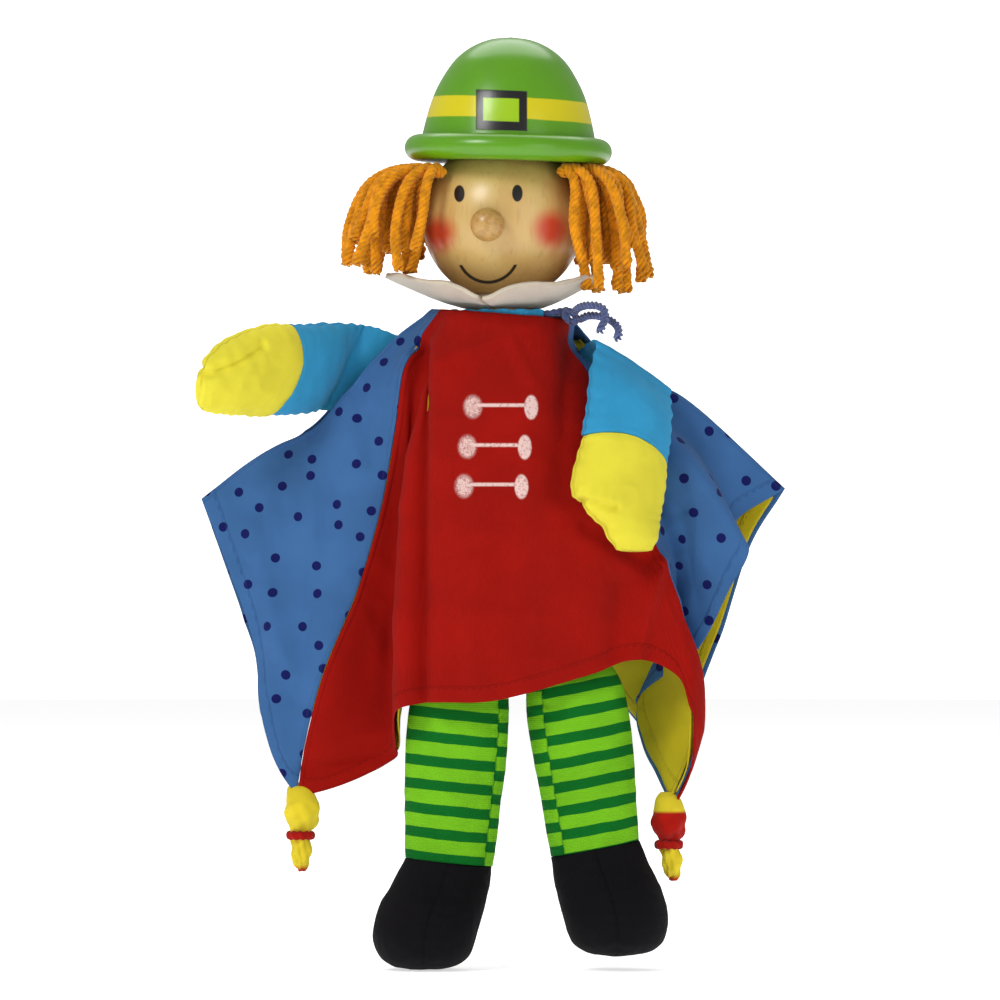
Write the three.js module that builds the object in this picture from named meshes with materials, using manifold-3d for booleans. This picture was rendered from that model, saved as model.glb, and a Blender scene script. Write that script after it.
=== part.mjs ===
import * as THREE from "three";
import { mergeVertices } from "three/addons/utils/BufferGeometryUtils.js";
import Module from "manifold-3d";

const wasm = await Module();
wasm.setup();

// Millimetres, +Z up, the face looks along -Y, +X is to the viewer's right.
// The origin is the centre of the neck tube's mouth, where the finger goes in.

// ---- driving dimensions ----
const CLEARANCE = 0.3; // between pieces that seat on one another

const HEAD_RADIUS = 30;
const HEAD_HEIGHT = 50; // centre of the head ball above the tube's mouth
const FACE_TURN = 10; // degrees the face looks to the viewer's left
const NOSE_RADIUS = 6.3;
const NOSE_STANDOFF = 3.4; // nose centre outside the head's surface
const NOSE_DROP = 2.8;

const TUBE_OUTER = 11.5;
const TUBE_BORE = 9;
const TUBE_DEPTH = 9.7; // how far the tube is glued up into the head
const FINGER_DEPTH = 44; // top of the finger bore above the tube's mouth

const HAT_TOP = 118;
const HAT_CROWN_RADIUS = 32.2; // at the foot of the crown
const BRIM_RADIUS = 38.6;
const BRIM_HEIGHT = 76; // centre of the rolled brim
const BRIM_THICKNESS = 9.6;
const HAT_TILT = 1.5; // degrees, the viewer's right side lower

const YARN_RADIUS = 1.6; // a strand of hair
const HAIR_ROOT_STANDOFF = 3.28; // root's centre line outside the wood
const CORD_DIAMETER = 3.2;
const CORD_SIDES = 8;

const COLLAR_GAP = 1.5; // between the collar's neck hole and the tube
const COLLAR_REACH = 40.5;
const COLLAR_SEAT = 17.5; // height of the collar at the neck
const COLLAR_FELT = 1.6;

const NECK_HALF_WIDTH = TUBE_OUTER + 14.5; // opening of the garment at the neck
const NECK_HALF_DEPTH = TUBE_OUTER + 10.5;
const NECK_CENTRE_Y = -2;
const NECK_TOP = 14.5;

const CLOTH = 0.8; // outer cotton
const LINING = 0.6;
const LINING_OFFSET = 1.8; // lining centre behind the outer cloth's centre
const LINING_EDGE = 7; // how far the lining stands back from the shoulder line
const SEAM_GAP = 0.35; // half of what is left between two panels at a seam
const LINING_SEAM = 2.2; // the same for two linings, which lie inside the turn of the cloth

const GLOVE_WALL = 0.9;
const GLOVE_HALF_DEPTH = TUBE_OUTER + 5;
const GLOVE_TOP_HALF_WIDTH = TUBE_OUTER + 9;
const GLOVE_TOP = 9;
const GLOVE_BOTTOM = -100;

const ARM_LENGTH = 71; // crease to mitten tip
const ARM_WIDTH = 36;
const ARM_THICKNESS = 17;
const BELLY_REACH = 355; // the longer the right arm, the more it leans out over the belly
const CUFF_SHARE = 0.45; // share of the arm's length that is sleeve
const CUFF_SQUARING = 0.6; // how far the slanted crease has turned square to the arm at the cuff
const FLAT_SLEEVE = 3.6; // thickness of the loose upper sleeve
const UPPER_END = 3.2; // the upper sleeve stops this far short of the crease
const LOWER_START = 1.5; // the stuffed sleeve starts this far past it

const HIP_HEIGHT = -112;
const HIP_Y = -20;
const LEG_HALF_WIDTH = 18.3;
const LEG_HALF_DEPTH = 13.5;
const ANKLE_HEIGHT = -188;
const SHOE_BOTTOM = -227;

const KNOT_RADIUS = 6;

// ---- materials ----
function material(color, roughness, metalness = 0) {
  return new THREE.MeshStandardMaterial({ color, roughness, metalness });
}

const LOOK = {
  wood: () => material(0xe0be84, 0.45),
  green: () => material(0x5ca014, 0.35),
  yarn: () => material(0xd07c14, 0.9),
  felt: () => material(0xe6dcc8, 0.95),
  skyCotton: () => material(0x3796c3, 0.85),
  cord: () => material(0x4b5a8c, 0.9),
  redCotton: () => material(0xa81805, 0.85),
  blueCotton: () => material(0x416eb4, 0.85),
  yellowCotton: () => material(0xe6d746, 0.85),
  lining: () => material(0xd8c83a, 0.85),
  jersey: () => material(0x5aa82a, 0.85),
  shoe: () => material(0x100f14, 0.9),
  card: () => material(0xb9a487, 0.8),
};

const root = new THREE.Group();
root.name = "hand_puppet";

function addMesh(name, geometry, look) {
  const mesh = new THREE.Mesh(geometry, look());
  mesh.name = name;
  root.add(mesh);
}

// ---- geometry helpers ----
function point(x, y, z) {
  return new THREE.Vector3(x, y, z);
}

function signedVolume(geometry) {
  const position = geometry.getAttribute("position");
  const index = geometry.index;
  const corner = [point(0, 0, 0), point(0, 0, 0), point(0, 0, 0)];
  let total = 0;
  for (let i = 0; i < index.count; i += 3) {
    for (let k = 0; k < 3; k += 1) {
      corner[k].fromBufferAttribute(position, index.getX(i + k));
    }
    total += corner[0].dot(corner[1].clone().cross(corner[2]));
  }
  return total / 6;
}

function facingOut(geometry) {
  if (signedVolume(geometry) > 0) {
    return geometry;
  }
  const index = geometry.index;
  for (let i = 0; i < index.count; i += 3) {
    const kept = index.getX(i + 1);
    index.setX(i + 1, index.getX(i + 2));
    index.setX(i + 2, kept);
  }
  return geometry;
}

function closedGeometry(geometry) {
  const plain = geometry.clone();
  plain.deleteAttribute("normal");
  plain.deleteAttribute("uv");
  return facingOut(mergeVertices(plain, 1e-4));
}

function fromTriangles(points, faces) {
  const geometry = new THREE.BufferGeometry();
  geometry.setFromPoints(points);
  geometry.setIndex(faces);
  return closedGeometry(geometry);
}

function solid(geometry) {
  const closed = closedGeometry(geometry);
  const mesh = new wasm.Mesh({
    numProp: 3,
    vertProperties: new Float32Array(closed.getAttribute("position").array),
    triVerts: new Uint32Array(closed.index.array),
  });
  return new wasm.Manifold(mesh);
}

function geometryOf(manifold) {
  const mesh = manifold.getMesh();
  const geometry = new THREE.BufferGeometry();
  geometry.setAttribute("position", new THREE.BufferAttribute(mesh.vertProperties, 3));
  geometry.setIndex(new THREE.BufferAttribute(mesh.triVerts, 1));
  return geometry;
}

function joined(geometries) {
  return geometries.map(solid).reduce((sum, next) => sum.add(next));
}

// A lathe about +Z from [radius, height] pairs.
function turned(profile, segments) {
  const points = profile.map(([radius, height]) => new THREE.Vector2(radius, height));
  return new THREE.LatheGeometry(points, segments).rotateX(Math.PI / 2);
}

// A closed body through a row of rings with the same number of points, capped at both ends.
function loft(rings) {
  const count = rings[0].length;
  const points = rings.flat();
  const faces = [];
  for (let r = 0; r + 1 < rings.length; r += 1) {
    for (let i = 0; i < count; i += 1) {
      const a = r * count + i;
      const b = r * count + ((i + 1) % count);
      faces.push(a, b, b + count, a, b + count, a + count);
    }
  }
  const last = (rings.length - 1) * count;
  for (const [start, flip] of [[0, true], [last, false]]) {
    const centre = point(0, 0, 0);
    for (let i = 0; i < count; i += 1) {
      centre.add(points[start + i]);
    }
    const hub = points.length;
    points.push(centre.divideScalar(count));
    for (let i = 0; i < count; i += 1) {
      const a = start + i;
      const b = start + ((i + 1) % count);
      faces.push(...(flip ? [hub, b, a] : [hub, a, b]));
    }
  }
  return fromTriangles(points, faces);
}

// A tube along a smooth curve through the given points.
function tube(points, radius, sides, steps) {
  const outline = [];
  for (let i = 0; i < sides; i += 1) {
    const angle = (2 * Math.PI * i) / sides;
    outline.push(new THREE.Vector2(radius * Math.cos(angle), radius * Math.sin(angle)));
  }
  const extrudePath = new THREE.CatmullRomCurve3(points, false, "centripetal");
  const options = { steps, extrudePath, bevelEnabled: false };
  return closedGeometry(new THREE.ExtrudeGeometry(new THREE.Shape(outline), options));
}

function ballAt(centre, radius, around, down) {
  return new THREE.SphereGeometry(radius, around, down).translate(centre.x, centre.y, centre.z);
}

// A surface through columns of points: u runs from column to column, v runs down each column.
function surfaceThrough(columns) {
  const runs = columns.map((points) => new THREE.CatmullRomCurve3(points, false, "centripetal"));
  return (u, v) => {
    const row = runs.map((run) => run.getPoint(v));
    return new THREE.CatmullRomCurve3(row, false, "centripetal").getPoint(u);
  };
}

function outwardNormal(surface, u, v) {
  const step = 1e-3;
  const right = surface(Math.min(u + step, 1), v).sub(surface(Math.max(u - step, 0), v));
  const down = surface(u, Math.min(v + step, 1)).sub(surface(u, Math.max(v - step, 0)));
  return down.cross(right).normalize();
}

const WHOLE = { u0: () => 0, u1: () => 1, v0: 0, v1: 1 };

// A cloth sheet of even thickness whose middle lies `inset` inside the surface.
function sheet(surface, span, counts, inset, thickness) {
  const [nu, nv] = counts;
  const points = [];
  for (const side of [-0.5, 0.5]) {
    for (let j = 0; j <= nv; j += 1) {
      for (let i = 0; i <= nu; i += 1) {
        const v = span.v0 + ((span.v1 - span.v0) * j) / nv;
        const u = THREE.MathUtils.lerp(span.u0(v), span.u1(v), i / nu);
        const out = outwardNormal(surface, u, v);
        points.push(surface(u, v).addScaledVector(out, side * thickness - inset));
      }
    }
  }
  const layer = (nu + 1) * (nv + 1);
  const at = (i, j) => j * (nu + 1) + i;
  const faces = [];
  for (let j = 0; j < nv; j += 1) {
    for (let i = 0; i < nu; i += 1) {
      const corners = [at(i, j), at(i + 1, j), at(i + 1, j + 1), at(i, j + 1)];
      const [a, b, c, d] = corners;
      faces.push(a, b, c, a, c, d);
      faces.push(a + layer, c + layer, b + layer, a + layer, d + layer, c + layer);
    }
  }
  const rim = [];
  for (let i = 0; i < nu; i += 1) rim.push(at(i, 0));
  for (let j = 0; j < nv; j += 1) rim.push(at(nu, j));
  for (let i = nu; i > 0; i -= 1) rim.push(at(i, nv));
  for (let j = nv; j > 0; j -= 1) rim.push(at(0, j));
  rim.forEach((a, k) => {
    const b = rim[(k + 1) % rim.length];
    faces.push(a, a + layer, b + layer, a, b + layer, b);
  });
  return fromTriangles(points, faces);
}

// ---- head ----
function headBall() {
  const ball = solid(ballAt(point(0, 0, HEAD_HEIGHT), HEAD_RADIUS, 28, 16));
  const seatTop = HEAD_HEIGHT - HEAD_RADIUS + TUBE_DEPTH + CLEARANCE;
  const seat = turned([[0, 0], [TUBE_OUTER + CLEARANCE, 0], [TUBE_OUTER + CLEARANCE, seatTop], [0, seatTop]], 32);
  const bore = turned([[0, 0], [TUBE_BORE, 0], [TUBE_BORE, FINGER_DEPTH], [0, FINGER_DEPTH]], 32);
  return geometryOf(ball.subtract(solid(seat)).subtract(solid(bore)));
}

function nose() {
  const turn = THREE.MathUtils.degToRad(FACE_TURN);
  const reach = Math.sqrt((HEAD_RADIUS + NOSE_STANDOFF) ** 2 - NOSE_DROP ** 2);
  const x = -reach * Math.sin(turn);
  const y = -reach * Math.cos(turn);
  const ball = solid(ballAt(point(x, y, HEAD_HEIGHT - NOSE_DROP), NOSE_RADIUS, 20, 12));
  const head = solid(ballAt(point(0, 0, HEAD_HEIGHT), HEAD_RADIUS + CLEARANCE, 32, 24));
  return geometryOf(ball.subtract(head));
}

function hat() {
  const half = BRIM_THICKNESS / 2;
  const foot = BRIM_HEIGHT + half;
  const profile = [[0, BRIM_HEIGHT - half]];
  for (let i = 0; i <= 8; i += 1) {
    const angle = -Math.PI / 2 + (Math.PI * i) / 8;
    profile.push([BRIM_RADIUS - half + half * Math.cos(angle), BRIM_HEIGHT + half * Math.sin(angle)]);
  }
  const rise = HAT_TOP - foot;
  for (const [share, height] of [[1, 0], [0.97, 0.12], [0.93, 0.26], [0.86, 0.44], [0.76, 0.61]]) {
    profile.push([HAT_CROWN_RADIUS * share, foot + rise * height]);
  }
  for (const [share, height] of [[0.63, 0.77], [0.46, 0.89], [0.25, 0.97], [0, 1]]) {
    profile.push([HAT_CROWN_RADIUS * share, foot + rise * height]);
  }
  const turnedHat = turned(profile, 32).rotateY(THREE.MathUtils.degToRad(HAT_TILT));
  const head = solid(ballAt(point(0, 0, HEAD_HEIGHT), HEAD_RADIUS + 2 * CLEARANCE, 28, 16));
  return geometryOf(solid(turnedHat).subtract(head));
}

function neckTube() {
  const top = HEAD_HEIGHT - HEAD_RADIUS + TUBE_DEPTH;
  const profile = [[TUBE_BORE, 0], [TUBE_OUTER, 0], [TUBE_OUTER, top], [TUBE_BORE, top], [TUBE_BORE, 0]];
  return turned(profile, 32);
}

// One bundle of yarn: strands spread over an arc, joined at a glued root under the brim.
function hairBundle(from, to, strands, endHeight, reach) {
  const rootHeight = BRIM_HEIGHT - BRIM_THICKNESS / 2 - 4.2;
  const root = Math.sqrt(HEAD_RADIUS ** 2 - (rootHeight - HEAD_HEIGHT) ** 2) + HAIR_ROOT_STANDOFF;
  const around = (degrees, radius, height) => {
    const angle = THREE.MathUtils.degToRad(degrees);
    return point(radius * Math.cos(angle), radius * Math.sin(angle), height);
  };
  const band = [0, 0.25, 0.5, 0.75, 1].map((t) =>
    around(from + (to - from) * t, root, rootHeight),
  );
  const pieces = [tube(band, 2, 6, 8)];
  for (let i = 0; i < strands; i += 1) {
    const t = (i + 0.5) / strands;
    const degrees = from + (to - from) * t;
    const spread = 5 * Math.sin(2.4 * i);
    const end = endHeight + spread;
    const out = reach + 0.8 * spread;
    pieces.push(
      tube(
        [
          around(degrees, root, rootHeight),
          around(degrees, root + 7, rootHeight - 1.5),
          around(degrees, 0.5 * (root + out) + 6, 0.6 * rootHeight + 0.4 * end),
          around(degrees, out + 1.5, 0.25 * rootHeight + 0.75 * end),
          around(degrees, out, end),
        ],
        YARN_RADIUS,
        5,
        5,
      ),
    );
  }
  return geometryOf(joined(pieces));
}

// The felt collar is a dished ring, higher at the sides, with a slit and a V in front.
function collar() {
  const slit = 256;
  const inner = TUBE_OUTER + COLLAR_GAP;
  const surface = (u, v) => {
    const degrees = slit + 360 * u;
    const angle = THREE.MathUtils.degToRad(degrees);
    const fromSlit = Math.min(u, 1 - u) * 360;
    const notch = 3.5 * Math.exp(-((fromSlit / 12) ** 2));
    const side = Math.cos(angle) ** 2;
    const back = Math.max(Math.sin(angle), 0);
    const reach = COLLAR_REACH - 3.2 * Math.cos(angle) - 3 * (1 - side) - notch;
    const radius = inner + (reach - inner) * v;
    const rise = 7 + 5 * side + 2 * back * (1 - side) - 1.3 * notch;
    return point(radius * Math.cos(angle), radius * Math.sin(angle), COLLAR_SEAT + rise * v ** 1.3);
  };
  const span = { u0: () => 0.004, u1: () => 0.996, v0: 0, v1: 1 };
  return sheet(surface, span, [32, 4], 0, COLLAR_FELT);
}

// ---- neck of the garment ----
function neckPoint(degrees, scale, height) {
  const angle = THREE.MathUtils.degToRad(degrees);
  const x = scale * NECK_HALF_WIDTH * Math.cos(angle);
  const y = NECK_CENTRE_Y + scale * NECK_HALF_DEPTH * Math.sin(angle);
  return point(x, y, height);
}

const CORD_EXIT = 322; // degrees round the neck where the cord comes out
const BAND_GAP = 4.6875 * CORD_DIAMETER; // degrees the band stops short of the exit on either side

function neckBand() {
  const turn = 360 - 2 * BAND_GAP;
  const surface = (u, v) => neckPoint(CORD_EXIT + BAND_GAP + turn * u, 0.945, 16.2 - 4.2 * v);
  return sheet(surface, WHOLE, [30, 1], 0, 1);
}

function neckCasing() {
  const inner = TUBE_OUTER + CLEARANCE;
  const profile = [[inner, 3], [inner + 2.2, 3.4], [inner + 2.4, 8], [inner + 2.2, 12.5], [inner, 14], [inner, 3]];
  return turned(profile, 32);
}

function cordKnotCentre() {
  return neckPoint(CORD_EXIT, 1.22, 13.6);
}

function neckCord() {
  const route = [neckPoint(CORD_EXIT, 1.16, 15.9)];
  for (let i = 0; i <= 24; i += 1) {
    route.push(neckPoint(CORD_EXIT + 14 + (332 * i) / 24, 0.83, 14.2));
  }
  route.push(neckPoint(CORD_EXIT, 1.16, 15.9));
  const first = tube(route.slice(0, 15), CORD_DIAMETER / 2, CORD_SIDES, 16);
  const second = tube(route.slice(14), CORD_DIAMETER / 2, CORD_SIDES, 14);
  const knot = ballAt(cordKnotCentre(), 3, 12, 8);
  return geometryOf(joined([first, second, knot]));
}

function cordTail(offsets) {
  const knot = cordKnotCentre();
  const route = offsets.map(([x, y, z]) => point(knot.x + x, knot.y + y, knot.z + z));
  return tube(route, CORD_DIAMETER / 2, CORD_SIDES, 14);
}

// ---- garment ----
// Each column starts at the neck, at an angle, and runs down through six more points to the hem.
function column(degrees, lower) {
  const height = NECK_TOP - 2 * Math.cos(THREE.MathUtils.degToRad(degrees));
  return [neckPoint(degrees, 1, height), ...lower.map(([x, y, z]) => point(x, y, z))];
}

// The front half, from the left shoulder line across the chest to the right shoulder line.
const FRONT = [
  column(184, [[-41, -7, 5], [-57, -9, -13], [-72, -5, -29], [-82, -3, -33], [-95, -3, -41], [-112, -4, -54]]),
  column(189, [[-40, -10, 1], [-55, -12, -18], [-69, -10, -36], [-81, -9, -48], [-93, -8, -61], [-104, -7, -74]]),
  column(195, [[-38, -14, -1], [-50, -16, -24], [-62, -15, -46], [-73, -14, -67], [-83, -12, -88], [-92, -10, -108]]),
  column(201, [[-37, -17, -1], [-45, -19, -26], [-53, -19, -52], [-62, -18, -79], [-76, -17, -105], [-90, -15, -131]]),
  column(207, [[-35, -18, -2], [-40, -20, -29], [-45, -20, -57], [-54, -20, -88], [-67, -20, -120], [-77, -18, -161]]),
  column(216, [[-31, -20, -4], [-34, -19, -29], [-35, -17, -58], [-37, -15, -89], [-39, -14, -119], [-42, -14, -151]]),
  column(232, [[-29, -27, -5], [-32, -31, -30], [-34, -34, -57], [-35, -36, -84], [-37, -37, -109], [-37, -37, -131]]),
  column(266, [[-3, -34, -9], [-3, -39, -33], [-3, -41, -57], [-3, -42, -81], [-3, -43, -105], [-3, -43, -128]]),
  column(296, [[21, -28, -8], [24, -32, -31], [27, -34, -54], [30, -35, -76], [32, -35, -98], [34, -35, -118]]),
  column(318, [[29, -20, -8], [36, -24, -29], [43, -27, -50], [49, -28, -72], [51, -28, -94], [50, -27, -113]]),
  column(326, [[31, -18, -9], [41, -22, -34], [50, -25, -60], [57, -26, -83], [62, -26, -103], [65, -26, -120]]),
  column(332, [[32, -17, -10], [43, -21, -37], [53, -24, -66], [62, -25, -92], [69, -26, -116], [70, -26, -138]]),
  column(338, [[32, -16, -12], [45, -20, -39], [56, -23, -69], [67, -23, -97], [74, -20, -132], [66, -18, -165]]),
  column(341, [[32, -15, -12], [47, -17, -36], [57, -17, -64], [64, -15, -90], [64, -8, -118], [53, -2, -149]]),
  column(344, [[32.5, -13, -12], [49, -14, -33], [58, -13, -60], [64, -10, -83], [61, -2, -105], [50, 3, -130]]),
  column(347, [[33, -12, -12], [50, -15, -31], [60, -16, -52], [67, -16, -72], [70, -14, -92], [72, -12, -110]]),
  column(350, [[33, -12, -10], [51, -16, -26], [62, -18, -43], [71, -18, -58], [78, -18, -72], [84, -17, -87]]),
  column(353, [[33, -11, -8], [50, -15, -22], [62, -18, -33], [73, -19, -45], [82, -19, -58], [91, -19, -73]]),
  column(356, [[32, -9, -5], [49, -11, -18], [62, -10, -26], [71, -9, -37], [79, -9, -49], [86, -9, -63]]),
  column(359, [[31, -7, -3], [48, -8, -13], [63, -6, -15], [75, -5, -23], [90, -5, -36], [105, -5, -50]]),
];

// The back half, from the right shoulder line round to the left one.
const BACK = [
  column(7, [[40, 9, -3], [51, 7, -10], [63, 2, -14], [75, 0, -23], [90, -1, -36], [105, -2, -50]]),
  column(14, [[41, 13, -6], [52, 13, -20], [63, 11, -31], [74, 9, -44], [83, 8, -58], [92, 7, -72]]),
  column(24, [[40, 18, -8], [49, 20, -27], [58, 19, -46], [67, 16, -65], [75, 13, -86], [80, 10, -108]]),
  column(36, [[35, 23, -9], [41, 27, -33], [47, 28, -58], [54, 26, -84], [60, 21, -112], [61, 14, -146]]),
  column(58, [[21, 28, -9], [25, 34, -34], [28, 37, -58], [31, 38, -80], [33, 38, -101], [34, 38, -122]]),
  column(90, [[0, 31, -8], [0, 37, -31], [0, 40, -54], [0, 41, -76], [0, 42, -96], [0, 42, -114]]),
  column(122, [[-21, 28, -9], [-26, 34, -33], [-30, 37, -56], [-34, 38, -78], [-37, 38, -99], [-40, 38, -118]]),
  column(144, [[-35, 23, -9], [-43, 27, -32], [-52, 28, -56], [-62, 26, -80], [-73, 21, -107], [-86, 8, -139]]),
  column(156, [[-40, 18, -7], [-51, 20, -27], [-62, 19, -47], [-73, 16, -67], [-83, 12, -87], [-93, 6, -109]]),
  column(166, [[-41, 13, -3], [-55, 13, -20], [-69, 10, -37], [-81, 7, -49], [-93, 5, -61], [-105, 3, -74]]),
  column(173, [[-41, 9, 5], [-57, 7, -11], [-72, 1, -28], [-82, -1, -33], [-95, -1, -41], [-112, -2, -54]]),
];

const LEFT_SEAM = 4; // columns of FRONT where red meets blue
const RIGHT_SEAM = 12;

// A panel of the outer cloth between two columns, or its lining.
function panel(columns, from, to, counts, lining) {
  const surface = surfaceThrough(columns);
  const last = columns.length - 1;
  const shoulder = lining ? LINING_EDGE : 0;
  const seam = lining ? LINING_SEAM : SEAM_GAP;
  // An edge stands back from its column by the same distance all the way down.
  const edge = (at, next) => (v) => {
    const back = at === 0 || at === last ? shoulder : seam;
    const spacing = surface(at / last, v).distanceTo(surface(next / last, v));
    return (at + ((next - at) * Math.min(back, spacing / 2)) / spacing) / last;
  };
  const span = { u0: edge(from, from + 1), u1: edge(to, to - 1), v0: lining ? 0.05 : 0, v1: lining ? 0.97 : 1 };
  return sheet(surface, span, counts, lining ? LINING_OFFSET : 0, lining ? LINING : CLOTH);
}

// A corner of the garment pulled through a knot, with its loose end.
function knot(top, tailLength, lean) {
  const ball = ballAt(point(top.x, top.y, top.z - KNOT_RADIUS), KNOT_RADIUS, 16, 10);
  const start = top.z - 2 * KNOT_RADIUS;
  const rings = [];
  for (const [drop, rx, ry] of [[-3, 3.4, 3.4], [1, 3.2, 3], [0.35, 3.4, 2.6], [0.7, 3, 2.2], [1, 1, 0.9]]) {
    const z = drop < 0 ? start + 3 : start - tailLength * (drop === 1 && rx > 3 ? 0.05 : drop);
    const ring = [];
    for (let i = 0; i < 10; i += 1) {
      const angle = (2 * Math.PI * i) / 10;
      const x = top.x + lean * ((start - z) / tailLength) + rx * Math.cos(angle);
      ring.push(point(x, top.y + ry * Math.sin(angle), z));
    }
    rings.push(ring);
  }
  return geometryOf(solid(ball).add(solid(loft(rings))));
}

function knotBand(top) {
  const height = top.z - 2 * KNOT_RADIUS;
  const profile = [[3.9, height - 3.5], [5.4, height - 3], [5.6, height - 1], [3.9, height - 0.4], [3.9, height - 3.5]];
  return turned(profile, 16).translate(top.x, top.y, 0);
}

const LEFT_KNOT_TOP = point(-75, -17, -164.5);
const RIGHT_KNOT_TOP = point(61.5, -16, -168);

// ---- inner glove ----
function gloveSurface(startDegrees, sweep) {
  return (u, v) => {
    const height = GLOVE_TOP + (GLOVE_BOTTOM - GLOVE_TOP) * v;
    const halfWidth = GLOVE_TOP_HALF_WIDTH + 6.5 * Math.min(v / 0.18, 1) + 5 * v;
    const angle = THREE.MathUtils.degToRad(startDegrees + sweep * u);
    return point(halfWidth * Math.cos(angle), NECK_CENTRE_Y * v + GLOVE_HALF_DEPTH * Math.sin(angle), height);
  };
}

function gloveHalf(startDegrees) {
  const surface = gloveSurface(startDegrees + 1, 178);
  const shell = solid(sheet(surface, WHOLE, [14, 6], 0, GLOVE_WALL));
  const hole = new THREE.CylinderGeometry(12, 12, 120, 20).rotateZ(Math.PI / 2);
  hole.scale(1, 0.6, 1).rotateX(Math.PI / 2).translate(0, 1, -8);
  return geometryOf(shell.subtract(solid(hole)));
}

// The cloth strip under the glove's front that both legs are sewn to.
function legYoke() {
  const front = NECK_CENTRE_Y - GLOVE_HALF_DEPTH - GLOVE_WALL / 2 - CLEARANCE;
  const yoke = new THREE.BoxGeometry(66, 1, 30);
  return closedGeometry(yoke.translate(5, front - 0.5, HIP_HEIGHT + 15));
}

// ---- limbs ----
// A ring of an ellipse about a centre, with its long and short half axes as vectors.
function ellipseRing(centre, longAxis, shortAxis, count) {
  const ring = [];
  for (let i = 0; i < count; i += 1) {
    const angle = (2 * Math.PI * i) / count;
    const at = centre.clone().addScaledVector(longAxis, Math.cos(angle));
    ring.push(at.addScaledVector(shortAxis, Math.sin(angle)));
  }
  return ring;
}

// Where an arm folds, which way it then points, and where it leaves the glove.
const LEFT_ARM = {
  shoulder: point(-29, 1, -7),
  bend: point(-43, 1, -6),
  rootAcross: point(0, 0, -1),
  crease: [point(-52, 0, 11), point(-66.5, 0, -21)],
  reach: point(-0.72, -0.66, -0.03),
};
const RIGHT_ARM = {
  shoulder: point(34, 2, -6.5),
  bend: point(41.5, -7, -3.6),
  rootAcross: point(0.8, 0, -0.6),
  crease: [point(33, -34, 5.5), point(63.5, -22, -14.5)],
  reach: point(-0.1, -ARM_LENGTH / BELLY_REACH, -0.97),
};

function creaseFrame(arm) {
  const [top, bottom] = arm.crease;
  const middle = top.clone().add(bottom).multiplyScalar(0.5);
  const reach = arm.reach.clone().normalize();
  const wide = bottom.clone().sub(top);
  wide.addScaledVector(reach, -wide.dot(reach)).normalize();
  const thick = reach.clone().cross(wide).normalize();
  return { middle, reach, wide, thick, fold: bottom.clone().sub(top).normalize() };
}

function upperSleeve(arm) {
  const { middle, fold } = creaseFrame(arm);
  const line = new THREE.CatmullRomCurve3([arm.shoulder, arm.bend, middle], false, "centripetal");
  const end = 1 - UPPER_END / line.getLength();
  const rings = [];
  for (const [share, halfWidth] of [[0, 10], [0.25, 12], [0.5, 14], [0.75, 16], [1, 17.5]]) {
    const centre = line.getPointAt(end * share);
    const along = line.getTangentAt(end * share);
    const wide = arm.rootAcross.clone().lerp(fold, share).normalize();
    const thick = along.clone().cross(wide).normalize();
    const half = FLAT_SLEEVE / 2;
    rings.push(ellipseRing(centre, wide.multiplyScalar(halfWidth), thick.multiplyScalar(half), 16));
  }
  return loft(rings);
}

// A stuffed stretch of the arm through rings of [share of its length, width, depth, sideways shift].
function armStretch(arm, shares) {
  const { middle, reach, wide, thick, fold } = creaseFrame(arm);
  const rings = shares.map(([share, width, depth, shift = 0]) => {
    const across = fold.clone().lerp(wide, Math.min(share / CUFF_SHARE, 1) * CUFF_SQUARING).normalize();
    const centre = middle.clone().addScaledVector(reach, LOWER_START + (ARM_LENGTH - LOWER_START) * share);
    centre.addScaledVector(across, (shift * ARM_WIDTH) / 2);
    const long = across.multiplyScalar((width * ARM_WIDTH) / 2);
    const short = thick.clone().multiplyScalar((depth * ARM_THICKNESS) / 2);
    return ellipseRing(centre, long, short, 18);
  });
  return loft(rings);
}

function sleeve(arm) {
  const shares = [[0, 0.98, 0.16], [0.05, 1, 0.45], [0.12, 1.01, 0.8], [0.22, 1, 1], [CUFF_SHARE, 0.98, 1.02]];
  return armStretch(arm, shares);
}

function mitten(arm) {
  const start = CUFF_SHARE + CLEARANCE / ARM_LENGTH;
  const shares = [[start, 0.97, 1.02], [0.55, 0.97, 1.08], [0.64, 0.91, 1.06, 0.04], [0.76, 0.79, 0.98, 0.12]];
  shares.push([0.87, 0.66, 0.8, 0.23], [0.95, 0.5, 0.55, 0.36], [1, 0.26, 0.2, 0.46]);
  return armStretch(arm, shares);
}

function legRing(x, y, z, halfWidth, halfDepth) {
  return ellipseRing(point(x, y, z), point(halfWidth, 0, 0), point(0, halfDepth, 0), 20);
}

function leg(topX, ankleX, ankleHeight) {
  const top = HIP_HEIGHT - CLEARANCE;
  const rings = [];
  const shape = [[0, 0.62, 0.12], [0.06, 0.78, 0.5], [0.14, 0.95, 0.86], [0.28, 1.02, 1], [0.5, 1.02, 1.04]];
  shape.push([0.75, 0.96, 1], [1, 0.88, 0.95]);
  for (const [share, wide, deep] of shape) {
    const x = topX + (ankleX - topX) * share;
    const z = top + (ankleHeight - top) * share;
    rings.push(legRing(x, HIP_Y, z, LEG_HALF_WIDTH * wide, LEG_HALF_DEPTH * deep));
  }
  return loft(rings);
}

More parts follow.
